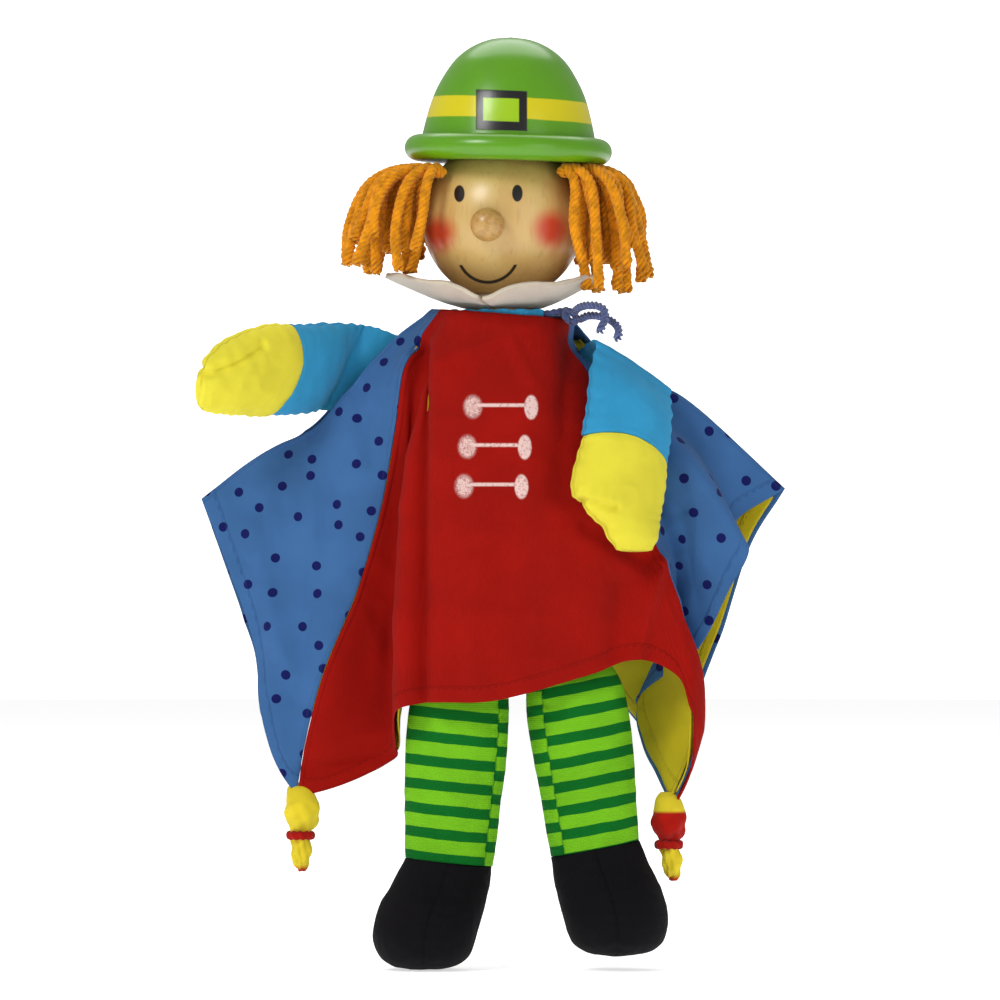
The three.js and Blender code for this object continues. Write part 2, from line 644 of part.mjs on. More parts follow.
function shoe(ankleX, toeX, ankleHeight, bottom) {
  const top = ankleHeight - CLEARANCE;
  const rings = [];
  const shape = [[0, 0, 0.87, 0.93, 0], [0.2, 0.3, 0.97, 1.15, -3], [0.45, 0.75, 1.06, 1.45, -8]];
  shape.push([0.7, 1, 1.05, 1.55, -11], [0.87, 1, 0.92, 1.35, -12], [0.96, 1, 0.68, 1, -12], [1, 1, 0.38, 0.6, -12]);
  for (const [drop, shift, wide, deep, forward] of shape) {
    const x = ankleX + (toeX - ankleX) * shift;
    const z = top + (bottom - top) * drop;
    rings.push(legRing(x, HIP_Y + forward, z, LEG_HALF_WIDTH * wide, LEG_HALF_DEPTH * deep));
  }
  return loft(rings);
}

// ---- assembly ----
addMesh("head_ball", headBall(), LOOK.wood);
addMesh("nose", nose(), LOOK.wood);
addMesh("hat", hat(), LOOK.green);
addMesh("neck_tube", neckTube(), LOOK.card);
addMesh("hair_left", hairBundle(160, 222, 8, 36, 50), LOOK.yarn);
addMesh("hair_right", hairBundle(-44, 18, 8, 29, 48), LOOK.yarn);
addMesh("hair_back", hairBundle(28, 150, 10, 36, 45), LOOK.yarn);
addMesh("collar", collar(), LOOK.felt);
addMesh("neck_band", neckBand(), LOOK.skyCotton);
addMesh("neck_casing", neckCasing(), LOOK.skyCotton);
addMesh("neck_cord", neckCord(), LOOK.cord);
const LONG_TAIL = [
  [3.3, -2.6, -1], [6.8, -8.2, 0.2], [10.6, -13.6, -0.2], [14.2, -18.6, -1.6],
  [16.9, -23, -3.9], [17.5, -26.6, -6.6], [16.8, -29.2, -9],
];
const SHORT_TAIL = [
  [1.6, -4.2, 1.8], [3.2, -9.4, 3.2], [6, -14.6, 3.8], [9.4, -18.8, 3.6],
  [12, -22.2, 2.2], [12.6, -25.2, -0.6], [11.6, -28, -3.6], [10.4, -30.6, -6.2],
];
addMesh("cord_tail_a", cordTail(LONG_TAIL), LOOK.cord);
addMesh("cord_tail_b", cordTail(SHORT_TAIL), LOOK.cord);

addMesh("glove_front", gloveHalf(180), LOOK.skyCotton);
addMesh("glove_back", gloveHalf(0), LOOK.skyCotton);
addMesh("leg_yoke", legYoke(), LOOK.skyCotton);

const FRONT_END = FRONT.length - 1;
const BACK_END = BACK.length - 1;
const PANELS = [
  ["tunic_front", "lining_front", FRONT, LEFT_SEAM, RIGHT_SEAM, [20, 12], LOOK.redCotton],
  ["left_panel", "lining_left", FRONT, 0, LEFT_SEAM, [8, 12], LOOK.blueCotton],
  ["right_panel", "lining_right", FRONT, RIGHT_SEAM, FRONT_END, [20, 12], LOOK.blueCotton],
  ["back_panel", "lining_back", BACK, 0, BACK_END, [22, 11], LOOK.blueCotton],
];
for (const [outer, inner, columns, from, to, counts, look] of PANELS) {
  addMesh(outer, panel(columns, from, to, counts, false), look);
  addMesh(inner, panel(columns, from, to, counts, true), LOOK.lining);
}

addMesh("left_knot", knot(LEFT_KNOT_TOP, 15, 0), LOOK.yellowCotton);
addMesh("left_knot_band", knotBand(LEFT_KNOT_TOP), LOOK.redCotton);
addMesh("right_knot", knot(RIGHT_KNOT_TOP, 15, 1), LOOK.yellowCotton);
addMesh("right_knot_band", knotBand(RIGHT_KNOT_TOP), LOOK.redCotton);

for (const [side, arm] of [["left", LEFT_ARM], ["right", RIGHT_ARM]]) {
  addMesh(side + "_upper_sleeve", upperSleeve(arm), LOOK.skyCotton);
  addMesh(side + "_sleeve", sleeve(arm), LOOK.skyCotton);
  addMesh(side + "_mitten", mitten(arm), LOOK.yellowCotton);
}

addMesh("left_leg", leg(-15, -20, ANKLE_HEIGHT), LOOK.jersey);
addMesh("left_shoe", shoe(-20, -29, ANKLE_HEIGHT, SHOE_BOTTOM), LOOK.shoe);
addMesh("right_leg", leg(25, 34, ANKLE_HEIGHT + 5), LOOK.jersey);
addMesh("right_shoe", shoe(34, 42, ANKLE_HEIGHT + 5, SHOE_BOTTOM + 5), LOOK.shoe);

export default root;
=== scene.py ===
import math

import bmesh
import bpy
import numpy as np
from mathutils import Matrix, Vector


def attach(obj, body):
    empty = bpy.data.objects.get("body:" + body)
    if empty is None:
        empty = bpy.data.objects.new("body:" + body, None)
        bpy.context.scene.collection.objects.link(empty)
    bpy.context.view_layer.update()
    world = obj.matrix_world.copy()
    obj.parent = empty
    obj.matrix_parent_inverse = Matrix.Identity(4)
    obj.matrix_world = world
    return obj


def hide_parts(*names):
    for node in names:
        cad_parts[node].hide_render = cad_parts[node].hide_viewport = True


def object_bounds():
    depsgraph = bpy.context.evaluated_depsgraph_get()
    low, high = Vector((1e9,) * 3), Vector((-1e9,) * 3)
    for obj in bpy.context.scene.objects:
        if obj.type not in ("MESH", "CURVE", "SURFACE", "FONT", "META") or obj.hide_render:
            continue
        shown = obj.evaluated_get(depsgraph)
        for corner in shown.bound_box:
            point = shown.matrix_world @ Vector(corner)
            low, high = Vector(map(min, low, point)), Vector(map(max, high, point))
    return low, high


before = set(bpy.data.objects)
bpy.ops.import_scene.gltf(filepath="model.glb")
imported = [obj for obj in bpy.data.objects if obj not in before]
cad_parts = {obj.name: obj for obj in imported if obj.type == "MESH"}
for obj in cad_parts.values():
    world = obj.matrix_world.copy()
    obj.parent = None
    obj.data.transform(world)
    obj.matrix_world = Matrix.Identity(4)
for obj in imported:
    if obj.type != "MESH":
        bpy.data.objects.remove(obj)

MM = 0.001
SCENE = bpy.context.scene
CAD_BOX = [list(corner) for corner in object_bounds()]

# Sizes that several pieces share, in millimetres and in the part's own frame.
HEAD_RADIUS, HEAD_HEIGHT = 30, 50
TUBE_BORE, TUBE_OUTER = 9, 11.5
NECK_HALF_WIDTH, NECK_HALF_DEPTH, NECK_CENTRE_Y = 26, 22, -2


# ------------------------------------------------------------------ numbers
def hash01(ix, iy, iz, seed):
    """A repeatable random number from 0 to 1 for each lattice cell."""
    value = np.sin(ix * 127.1 + iy * 311.7 + iz * 74.7 + seed * 19.19) * 43758.5453
    return value - np.floor(value)


def noise3(points, seed=0.0):
    """Smooth noise from -1 to 1 at each row of points."""
    cell = np.floor(points)
    part = points - cell
    fade = part * part * (3 - 2 * part)
    total = np.zeros(len(points))
    for corner in range(8):
        step = np.array([corner & 1, (corner >> 1) & 1, (corner >> 2) & 1])
        weight = np.prod(np.where(step == 1, fade, 1 - fade), axis=1)
        at = cell + step
        total += weight * hash01(at[:, 0], at[:, 1], at[:, 2], seed)
    return total * 2 - 1


def ridged(points, seed=0.0):
    """Noise with sharp crests, like creases in cloth, from 0 to 1."""
    return 1 - np.abs(noise3(points, seed))


def catmull(control, times):
    """The centripetal Catmull-Rom curve through control[0..n-1], at times from 0 to n - 1."""
    control = np.asarray(control, float)
    last = len(control) - 1
    out = []
    for time in times:
        i = min(int(time), last - 1)
        w = time - i
        p1, p2 = control[i], control[i + 1]
        p0 = control[i - 1] if i > 0 else 2 * control[0] - control[1]
        p3 = control[i + 2] if i + 2 <= last else 2 * control[last] - control[last - 1]
        d0, d1, d2 = (
            np.sqrt(np.linalg.norm(b - a, axis=-1, keepdims=True))
            for a, b in ((p0, p1), (p1, p2), (p2, p3))
        )
        d1 = np.where(d1 < 1e-4, 1.0, d1)
        d0 = np.where(d0 < 1e-4, d1, d0)
        d2 = np.where(d2 < 1e-4, d1, d2)
        t1 = ((p1 - p0) / d0 - (p2 - p0) / (d0 + d1) + (p2 - p1) / d1) * d1
        t2 = ((p2 - p1) / d1 - (p3 - p1) / (d1 + d2) + (p3 - p2) / d2) * d1
        out.append(
            p1 + t1 * w + (-3 * p1 + 3 * p2 - 2 * t1 - t2) * w**2 + (2 * p1 - 2 * p2 + t1 + t2) * w**3
        )
    return np.array(out)


def unit(v):
    return v / np.maximum(np.linalg.norm(v, axis=-1, keepdims=True), 1e-9)


def smoothstep(low, high, x):
    t = np.clip((x - low) / (high - low), 0, 1)
    return t * t * (3 - 2 * t)


# ------------------------------------------------------------------ meshes
def make_object(name, points, faces, uvs=None):
    """A smooth-shaded mesh object from points in millimetres, with one UV in millimetres per point."""
    mesh = bpy.data.meshes.new(name)
    mesh.from_pydata([tuple(p) for p in np.asarray(points) * MM], [], [tuple(f) for f in faces])
    if uvs is not None:
        layer = mesh.uv_layers.new(name="UVMap")
        index = np.zeros(len(mesh.loops), int)
        mesh.loops.foreach_get("vertex_index", index)
        layer.data.foreach_set("uv", (np.asarray(uvs) * MM)[index].astype(np.float32).ravel())
    mesh.polygons.foreach_set("use_smooth", [True] * len(mesh.polygons))
    mesh.update()
    made = bpy.data.objects.new(name, mesh)
    SCENE.collection.objects.link(made)
    return made


def grid_faces(nu, nv, wrap=False):
    """Quads of a grid stored row by row, nu + 1 points to a row, or nu if the rows close."""
    width = nu if wrap else nu + 1
    faces = []
    for j in range(nv):
        for i in range(nu):
            k = (i + 1) % width
            faces.append((j * width + i, j * width + k, (j + 1) * width + k, (j + 1) * width + i))
    return faces


def grid_normals(grid):
    """Outward normals of a grid of points whose columns run down and whose rows run right."""
    down = np.gradient(grid, axis=0)
    right = np.gradient(grid, axis=1)
    return unit(np.cross(down, right))


def outward(made):
    """Turns a closed mesh's faces outwards."""
    bm = bmesh.new()
    bm.from_mesh(made.data)
    bmesh.ops.delete(bm, geom=[v for v in bm.verts if not v.link_faces], context="VERTS")
    bmesh.ops.recalc_face_normals(bm, faces=bm.faces)
    bm.to_mesh(made.data)
    bm.free()
    return made


def finish_piece(made, material, body, node):
    made.data.materials.append(material)
    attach(made, body)
    if node:
        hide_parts(*([node] if isinstance(node, str) else node))
    return made


def revolve(name, profile, steps):
    """A closed turned body from [radius, height] pairs that start and end on the axis or close."""
    profile = np.array(profile, float)
    angle = np.arange(steps) * 2 * np.pi / steps
    grid = np.stack(
        [
            profile[:, None, 0] * np.cos(angle)[None],
            profile[:, None, 0] * np.sin(angle)[None],
            profile[:, None, 1] * np.ones(steps)[None],
        ],
        axis=-1,
    )
    points = grid.reshape(-1, 3)
    made = make_object(name, points, grid_faces(steps, len(profile) - 1, wrap=True))
    bm = bmesh.new()
    bm.from_mesh(made.data)
    bmesh.ops.remove_doubles(bm, verts=bm.verts, dist=1e-6)
    bmesh.ops.recalc_face_normals(bm, faces=bm.faces)
    bm.to_mesh(made.data)
    bm.free()
    made.data.polygons.foreach_set("use_smooth", [True] * len(made.data.polygons))
    return made


def frames_along(path):
    """Two unit vectors across a path at each of its points, turning as little as they can."""
    tangent = unit(np.gradient(path, axis=0))
    side = np.cross(tangent[0], [0.0, 0.0, 1.0])
    if np.linalg.norm(side) < 0.1:
        side = np.cross(tangent[0], [1.0, 0.0, 0.0])
    sides = []
    for t in tangent:
        side = side - t * np.dot(side, t)
        side = side / np.linalg.norm(side)
        sides.append(side)
    sides = np.array(sides)
    return sides, np.cross(tangent, sides)


def smooth_path(control, spacing):
    """Points about `spacing` apart on the curve through the control points."""
    fine = catmull(control, np.linspace(0, len(control) - 1, 40 * (len(control) - 1) + 1))
    steps = np.linalg.norm(np.diff(fine, axis=0), axis=1)
    length = np.concatenate([[0], np.cumsum(steps)])
    count = max(int(round(length[-1] / spacing)), 2)
    wanted = np.linspace(0, length[-1], count + 1)
    return np.stack([np.interp(wanted, length, fine[:, k]) for k in range(3)], axis=1)


def yarn_points(path, radius, plies, twist, seed, fray=0.0):
    """Points and faces of plies of yarn twisted round a path, `twist` millimetres to a turn."""
    across, up = frames_along(path)
    steps = np.linalg.norm(np.diff(path, axis=0), axis=1)
    length = np.concatenate([[0], np.cumsum(steps)])
    share = length / length[-1]
    points, faces = [], []
    sides = 7
    thick = radius * (0.56 if plies > 1 else 1)
    offset = radius - thick
    for ply in range(plies):
        phase = 2 * np.pi * ply / plies + seed
        angle = phase + 2 * np.pi * length / twist
        open_out = 1 + fray * smoothstep(0.88, 1, share) * (1 + 0.8 * math.sin(7 * seed + 3 * ply))
        centre = path + (across * np.cos(angle)[:, None] + up * np.sin(angle)[:, None]) * (
            offset * open_out
        )[:, None]
        swell = thick * (1 + 0.06 * np.sin(length * 2.1 + seed * 5 + ply))
        swell = swell * (1 - 0.35 * smoothstep(0.94, 1, share) * (fray > 0))
        start = sum(len(p) for p in points)
        ring = np.arange(sides) * 2 * np.pi / sides
        grid = (
            centre[:, None]
            + swell[:, None, None] * np.cos(ring)[None, :, None] * across[:, None]
            + swell[:, None, None] * np.sin(ring)[None, :, None] * up[:, None]
        )
        points.append(grid.reshape(-1, 3))
        faces += [tuple(start + k for k in f) for f in grid_faces(sides, len(path) - 1, wrap=True)]
        faces.append(tuple(start + k for k in range(sides - 1, -1, -1)))
        end = start + sides * (len(path) - 1)
        faces.append(tuple(end + k for k in range(sides)))
    return np.concatenate(points), faces


def join_parts(parts):
    points, faces, start = [], [], 0
    for some_points, some_faces in parts:
        points.append(some_points)
        faces += [tuple(start + k for k in f) for f in some_faces]
        start += len(some_points)
    return np.concatenate(points), faces


# ------------------------------------------------------------------ materials
def linear(rgb):
    """A shader colour from three sRGB values of 0 to 255."""
    shares = [c / 255 for c in rgb]
    return tuple(c / 12.92 if c <= 0.04045 else ((c + 0.055) / 1.055) ** 2.4 for c in shares) + (1.0,)


class Paint:
    """A procedural material built from short calls that return sockets."""

    def __init__(self, name, rgb, roughness):
        self.material = bpy.data.materials.new(name)
        self.material.use_nodes = True
        self.tree = self.material.node_tree
        self.shader = self.tree.nodes["Principled BSDF"]
        self.shader.inputs["Roughness"].default_value = roughness
        coordinates = self.tree.nodes.new("ShaderNodeTexCoord")
        self.object = coordinates.outputs["Object"]
        self.uv = coordinates.outputs["UV"]
        self.base = self.tree.nodes.new("ShaderNodeRGB").outputs[0]
        self.base.default_value = linear(rgb)
        self.heights = []

    def node(self, kind, **settings):
        made = self.tree.nodes.new(kind)
        for key, value in settings.items():
            setattr(made, key, value)
        return made

    def join(self, value, socket):
        if hasattr(value, "is_linked") or hasattr(value, "links"):
            self.tree.links.new(value, socket)
        else:
            socket.default_value = value

    def math(self, operation, a, b=0.0, c=0.0):
        made = self.node("ShaderNodeMath", operation=operation)
        for socket, value in zip(made.inputs, (a, b, c)):
            self.join(value, socket)
        return made.outputs[0]

    def parts(self, vector):
        made = self.node("ShaderNodeSeparateXYZ")
        self.join(vector, made.inputs[0])
        return made.outputs[0], made.outputs[1], made.outputs[2]

    def scaled(self, vector, scale, rotation=(0, 0, 0)):
        made = self.node("ShaderNodeMapping")
        self.join(vector, made.inputs["Vector"])
        made.inputs["Scale"].default_value = scale
        made.inputs["Rotation"].default_value = rotation
        return made.outputs[0]

    def noise(self, vector, scale, detail=2.0, rough=0.5):
        made = self.node("ShaderNodeTexNoise")
        self.join(vector, made.inputs["Vector"])
        made.inputs["Scale"].default_value = scale
        made.inputs["Detail"].default_value = detail
        made.inputs["Roughness"].default_value = rough
        return made.outputs[0]

    def ramp(self, value, low, high, out_low=0.0, out_high=1.0):
        """A smooth step from out_low to out_high as value goes from low to high."""
        made = self.node("ShaderNodeMapRange", interpolation_type="SMOOTHSTEP")
        self.join(value, made.inputs[0])
        for k, number in enumerate((low, high, out_low, out_high)):
            made.inputs[k + 1].default_value = number
        return made.outputs[0]

    def mix(self, factor, a, b):
        made = self.node("ShaderNodeMix", data_type="RGBA")
        self.join(factor, made.inputs[0])
        self.join(a, made.inputs[6])
        self.join(b, made.inputs[7])
        return made.outputs[2]

    def color(self, rgb):
        made = self.node("ShaderNodeRGB")
        made.outputs[0].default_value = linear(rgb)
        return made.outputs[0]

    def paint_over(self, factor, rgb):
        self.base = self.mix(factor, self.base, self.color(rgb))

    def shade(self, level):
        """Multiplies the colour so far by a number."""
        made = self.node("ShaderNodeVectorMath", operation="SCALE")
        self.join(self.base, made.inputs[0])
        self.join(level, made.inputs["Scale"])
        self.base = made.outputs[0]

    def vary(self, vector, scale, amount):
        """Uneven colour: darker by `amount` in places and lighter by half as much."""
        self.shade(self.ramp(self.noise(vector, scale, 3.0), 0.3, 0.7, 1 - amount, 1 + amount * 0.5))

    def height(self, value, amount):
        """Adds relief: value times amount millimetres."""
        self.heights.append(self.math("MULTIPLY", value, amount))

    def weave(self, period, relief, dip_shade):
        """A plain weave of that period in millimetres, in UV space, with painted shade in the dips between threads and
        painted light on their crowns; the last number sets how much.
        """
        u, v, _ = self.parts(self.uv)
        turn = 2 * math.pi / (period * MM)
        wobble = self.math("MULTIPLY", self.noise(self.uv, 900.0, 1.0), 1.6)
        across = self.math("SINE", self.math("ADD", self.math("MULTIPLY", u, turn), wobble))
        down = self.math("SINE", self.math("ADD", self.math("MULTIPLY", v, turn), wobble))
        threads = self.math("MULTIPLY_ADD", self.math("MULTIPLY", across, down), 0.5, 0.5)
        self.height(threads, relief)
        # Painted shade and light: darker where the threads dip, lighter where they rise.
        self.shade(self.ramp(threads, 0.0, 1.0, 1 - dip_shade, 1 + dip_shade * 0.4))

    def done(self):
        self.join(self.base, self.shader.inputs["Base Color"])
        if self.heights:
            total = self.heights[0]
            for extra in self.heights[1:]:
                total = self.math("ADD", total, extra)
            bump = self.node("ShaderNodeBump")
            bump.inputs["Distance"].default_value = MM
            bump.inputs["Strength"].default_value = 1.0
            self.join(total, bump.inputs["Height"])
            self.join(bump.outputs[0], self.shader.inputs["Normal"])
        return self.material


def cotton(name, rgb, sheen=0.06, creases=0.25, dots=None):
    """Plain-weave cotton with soft creases, worn lighter in patches, with optional printed dots."""
    paint = Paint(name, rgb, 0.82)
    paint.shader.inputs["Sheen Weight"].default_value = sheen
    paint.shader.inputs["Sheen Roughness"].default_value = 0.5
    paint.shader.inputs["Specular IOR Level"].default_value = 0.12
    paint.vary(paint.object, 45.0, 0.10)
    if dots:
        spacing, radius, dot_rgb = dots
        voronoi = paint.node("ShaderNodeTexVoronoi", voronoi_dimensions="2D", feature="F1")
        voronoi.inputs["Scale"].default_value = 1 / (spacing * MM)
        voronoi.inputs["Randomness"].default_value = 0.62
        paint.join(paint.uv, voronoi.inputs["Vector"])
        edge = radius / spacing
        paint.paint_over(paint.ramp(voronoi.outputs["Distance"], edge * 1.08, edge * 0.92), dot_rgb)
    paint.weave(0.62, 0.10, 0.10)
    paint.height(paint.noise(paint.object, 70.0, 4.0, 0.55), creases * 2)
    paint.height(paint.noise(paint.scaled(paint.object, (1, 1, 0.35)), 230.0, 2.0), creases * 0.5)
    return paint


def attribute(paint, name):
    made = paint.node("ShaderNodeAttribute", attribute_name=name)
    return made.outputs["Fac"]


def ellipse(paint, x, z, centre, radii, soft=0.08):
    """1 inside an ellipse of x and z, both in metres, with its centre and radii in millimetres."""
    dx = paint.math("DIVIDE", paint.math("SUBTRACT", x, centre[0] * MM), radii[0] * MM)
    dz = paint.math("DIVIDE", paint.math("SUBTRACT", z, centre[1] * MM), radii[1] * MM)
    squared = paint.math("ADD", paint.math("MULTIPLY", dx, dx), paint.math("MULTIPLY", dz, dz))
    return paint.ramp(paint.math("SQRT", squared), 1 + soft, 1 - soft)


def rectangle(paint, x, z, centre, half, soft=0.25):
    """1 inside a rectangle, in the same units; soft is the width of its edge in millimetres."""
    past = []
    for place, middle, reach in ((x, centre[0], half[0]), (z, centre[1], half[1])):
        away = paint.math("ABSOLUTE", paint.math("SUBTRACT", place, middle * MM))
        past.append(paint.math("SUBTRACT", away, reach * MM))
    return paint.ramp(paint.math("MAXIMUM", *past), soft * MM, -soft * MM)


# ------------------------------------------------------------------ camera and light
camera_data = bpy.data.cameras.new("camera")
camera_data.lens = 309.5
camera_data.sensor_width = 36
camera_data.clip_end = 20
camera = bpy.data.objects.new("camera", camera_data)
camera.location = (-0.0011, -3.2, -0.0543)
camera.rotation_euler = (math.pi / 2, 0, 0)
SCENE.collection.objects.link(camera)
SCENE.camera = camera
SCENE.view_settings.view_transform = "Standard"

FLOOR_HEIGHT = CAD_BOX[0][2] / MM - 0.4
FLOOR_RADIUS, BEND_RADIUS, WALL_HEIGHT = 4300, 600, 3200  # wider than any view stands off


def round_stage(name, radii, heights):
    """A ring-shaped stage surface through (radius, height) pairs in millimetres, pale and matt."""
    turn = np.linspace(0, 2 * np.pi, 97)
    x, y = np.outer(radii, np.cos(turn)), np.outer(radii, np.sin(turn))
    grid = np.stack([x, y, np.repeat(np.array(heights)[:, None], len(turn), axis=1)], axis=-1)
    made = make_object(name, grid.reshape(-1, 3), grid_faces(len(turn) - 1, len(radii) - 1))
    paper = Paint(name + "_paper", (250, 250, 250), 0.9)
    paper.vary(paper.object, 3.0, 0.006)
    paper.shader.inputs["Emission Color"].default_value = (1, 1, 1, 1)
    paper.shader.inputs["Emission Strength"].default_value = 0.6
    made.data.materials.append(paper.done())
    return made


round_stage("floor", [1, 1500, 3000, FLOOR_RADIUS], [FLOOR_HEIGHT] * 4)
bend = np.linspace(0, np.pi / 2, 16)
wall = round_stage(
    "backdrop",
    list(FLOOR_RADIUS + BEND_RADIUS * np.sin(bend)) + [FLOOR_RADIUS + BEND_RADIUS],
    list(FLOOR_HEIGHT + BEND_RADIUS * (1 - np.cos(bend))) + [WALL_HEIGHT],
)
wall.data.materials[0].node_tree.nodes["Principled BSDF"].inputs["Emission Strength"].default_value = 1.0
wall.visible_diffuse = wall.visible_glossy = wall.visible_shadow = wall.visible_transmission = False


def area_light(name, location, target, size, power):
    data = bpy.data.lights.new(name, "AREA")
    data.shape = "DISK"
    data.size = size
    data.energy = power
    made = bpy.data.objects.new(name, data)
    made.location = location
    made.rotation_euler = (Vector(target) - Vector(location)).to_track_quat("-Z", "Y").to_euler()
    SCENE.collection.objects.link(made)


area_light("key", (-0.8, -1.0, 0.95), (0, 0, -0.05), 0.55, 9.5)
area_light("fill", (0.9, -1.2, 0.3), (0, 0, -0.05), 0.9, 2.6)
area_light("back", (0.0, 0.9, 1.2), (0, 0.9, -0.1), 1.6, 14)
world = bpy.data.worlds.new("world")
world.use_nodes = True
world.node_tree.nodes["Background"].inputs[0].default_value = (1, 1, 1, 1)
world.node_tree.nodes["Background"].inputs[1].default_value = 0.36
SCENE.world = world

# ------------------------------------------------------------------ cord
CORD_RADIUS = 1.6
CORD_EXIT = 322


def neck_point(degrees, scale, height):
    angle = math.radians(degrees)
    x = NECK_HALF_WIDTH * scale * math.cos(angle)
    return np.array([x, NECK_CENTRE_Y + NECK_HALF_DEPTH * scale * math.sin(angle), height])


CORD_KNOT = neck_point(CORD_EXIT, 1.22, 13.6)


def cord_paint():
    paint = Paint("cord_braid", (74, 88, 138), 0.85)
    paint.shader.inputs["Sheen Weight"].default_value = 0.4
    paint.vary(paint.object, 260.0, 0.30)
    paint.height(paint.noise(paint.object, 1500.0, 2.0), 0.35)
    return paint.done()


CORD_PAINT = cord_paint()
LONG_TAIL = [
    (3.3, -2.6, -1), (6.8, -8.2, 0.2), (10.6, -13.6, -0.2), (14.2, -18.6, -1.6),
    (16.9, -23, -3.9), (17.5, -26.6, -6.6), (16.8, -29.2, -9),
]
SHORT_TAIL = [
    (1.6, -4.2, 1.8), (3.2, -9.4, 3.2), (6, -14.6, 3.8), (9.4, -18.8, 3.6),
    (12, -22.2, 2.2), (12.6, -25.2, -0.6), (11.6, -28, -3.6), (10.4, -30.6, -6.2),
]
for node, offsets, seed in (("cord_tail_a", LONG_TAIL, 1.0), ("cord_tail_b", SHORT_TAIL, 2.3)):
    route = smooth_path(CORD_KNOT + np.array(offsets), 0.5)
    made = make_object(node + "_braid", *yarn_points(route, CORD_RADIUS, 3, 7.0, seed, fray=0.5))
    finish_piece(made, CORD_PAINT, "garment", node)

ring_start = neck_point(CORD_EXIT, 1.16, 15.9)
ring = [ring_start]
ring += [neck_point(CORD_EXIT + 14 + 332 * i / 24, 0.83, 14.2) for i in range(25)]
ring += [ring_start]
knot_turns = []
for i in range(40):
    t = 2 * math.pi * i / 39
    turn = [2.1 * math.sin(2 * t), 1.9 * math.cos(3 * t), 2.1 * math.cos(2 * t + 0.5)]
    knot_turns.append(CORD_KNOT + np.array(turn))
cord_ring = join_parts([
    yarn_points(smooth_path(ring, 0.8), 1.5, 3, 7.0, 0.4),
    yarn_points(smooth_path(knot_turns, 0.5), 1.35, 3, 7.0, 1.9),
])
finish_piece(make_object("neck_cord_braid", *cord_ring), CORD_PAINT, "garment", "neck_cord")

# ------------------------------------------------------------------ head
def wood(name, rgb, across):
    """Varnished maple: fine pores along Z and pale rings across."""
    paint = Paint(name, rgb, 0.33)
    paint.shader.inputs["Coat Weight"].default_value = 0.25
    paint.shader.inputs["Coat Roughness"].default_value = 0.25
    grain = paint.noise(paint.scaled(paint.object, across), 60.0, 4.0, 0.6)
    paint.paint_over(paint.ramp(grain, 0.42, 0.7, 0.0, 0.5), (198, 150, 88))
    pores = paint.noise(paint.scaled(paint.object, tuple(3 * s for s in across)), 240.0, 2.0)
    paint.paint_over(paint.ramp(pores, 0.55, 0.75, 0.0, 0.22), (150, 105, 55))
    paint.height(pores, 0.03)
    return paint


TUBE_SEAT, FINGER_DEPTH = 11.8, 44.0  # radius of the tube's seat, and top of the finger bore
shell = []
low = math.asin(-math.sqrt(HEAD_RADIUS**2 - TUBE_SEAT**2) / HEAD_RADIUS)
for k in range(121):
    angle = low + (math.pi / 2 - low) * k / 120
    shell.append([HEAD_RADIUS * math.cos(angle), HEAD_HEIGHT + HEAD_RADIUS * math.sin(angle)])
seat = [[0, FINGER_DEPTH], [TUBE_BORE, FINGER_DEPTH], [TUBE_BORE, 30.0], [TUBE_SEAT, 30.0]]
head = revolve("head_turned", seat + shell, 160)
face = wood("maple_face", (214, 180, 110), (1.0, 1.0, 0.10))
x, y, z = face.parts(face.object)
front = face.ramp(y, -0.004, -0.008)
for cheek in ((-24.4, 43.9), (17.8, 45.7)):
    soft = face.math("MULTIPLY", ellipse(face, x, z, cheek, (6.0, 6.2), 0.62), front)
    face.paint_over(face.math("MULTIPLY", soft, 0.9), (202, 36, 20))
for eye in ((-16.1, 58.9), (5.3, 58.9)):
    face.paint_over(face.math("MULTIPLY", ellipse(face, x, z, eye, (1.95, 3.15)), front), (18, 15, 15))
arc_x = face.math("DIVIDE", face.math("SUBTRACT", x, -5.5 * MM), 11.3 * MM)
arc_z = face.math("DIVIDE", face.math("SUBTRACT", z, 37.6 * MM), 11.3 * MM)
arc_squared = face.math("ADD", face.math("MULTIPLY", arc_x, arc_x), face.math("MULTIPLY", arc_z, arc_z))
arc_r = face.math("SQRT", arc_squared)
line = face.ramp(face.math("ABSOLUTE", face.math("SUBTRACT", arc_r, 1.0)), 0.065, 0.035)
below = face.ramp(z, 32.9 * MM, 32.4 * MM)
mouth = face.math("MULTIPLY", face.math("MULTIPLY", line, below), front)
face.paint_over(mouth, (20, 14, 12))
finish_piece(head, face.done(), "head", "head_ball")

turn = math.radians(10)
reach = math.sqrt(33.4**2 - 2.8**2)
nose_centre = np.array([-reach * math.sin(turn), -reach * math.cos(turn), 47.2])
t = np.linspace(-1, 1, 49)
NOSE_RADIUS = 6.3
nose_profile = [[NOSE_RADIUS * math.cos(a * math.pi / 2), NOSE_RADIUS * math.sin(a * math.pi / 2)] for a in t]
nose = revolve("nose_turned", nose_profile, 64)
nose_axis = Vector((-math.sin(turn), -math.cos(turn), 0.12))
nose.data.transform(nose_axis.to_track_quat("Z", "Y").to_matrix().to_4x4())
nose.data.transform(Matrix.Translation(Vector(nose_centre * MM)))
tip = wood("maple_nose", (196, 154, 86), (1.0, 0.12, 1.0))
rings = tip.noise(tip.scaled(tip.object, (1.0, 0.06, 1.5), rotation=(0, 0.4, 0.2)), 420.0, 1.0)
tip.paint_over(tip.ramp(rings, 0.45, 0.62, 0.0, 0.5), (168, 122, 66))
finish_piece(nose, tip.done(), "head", "nose")

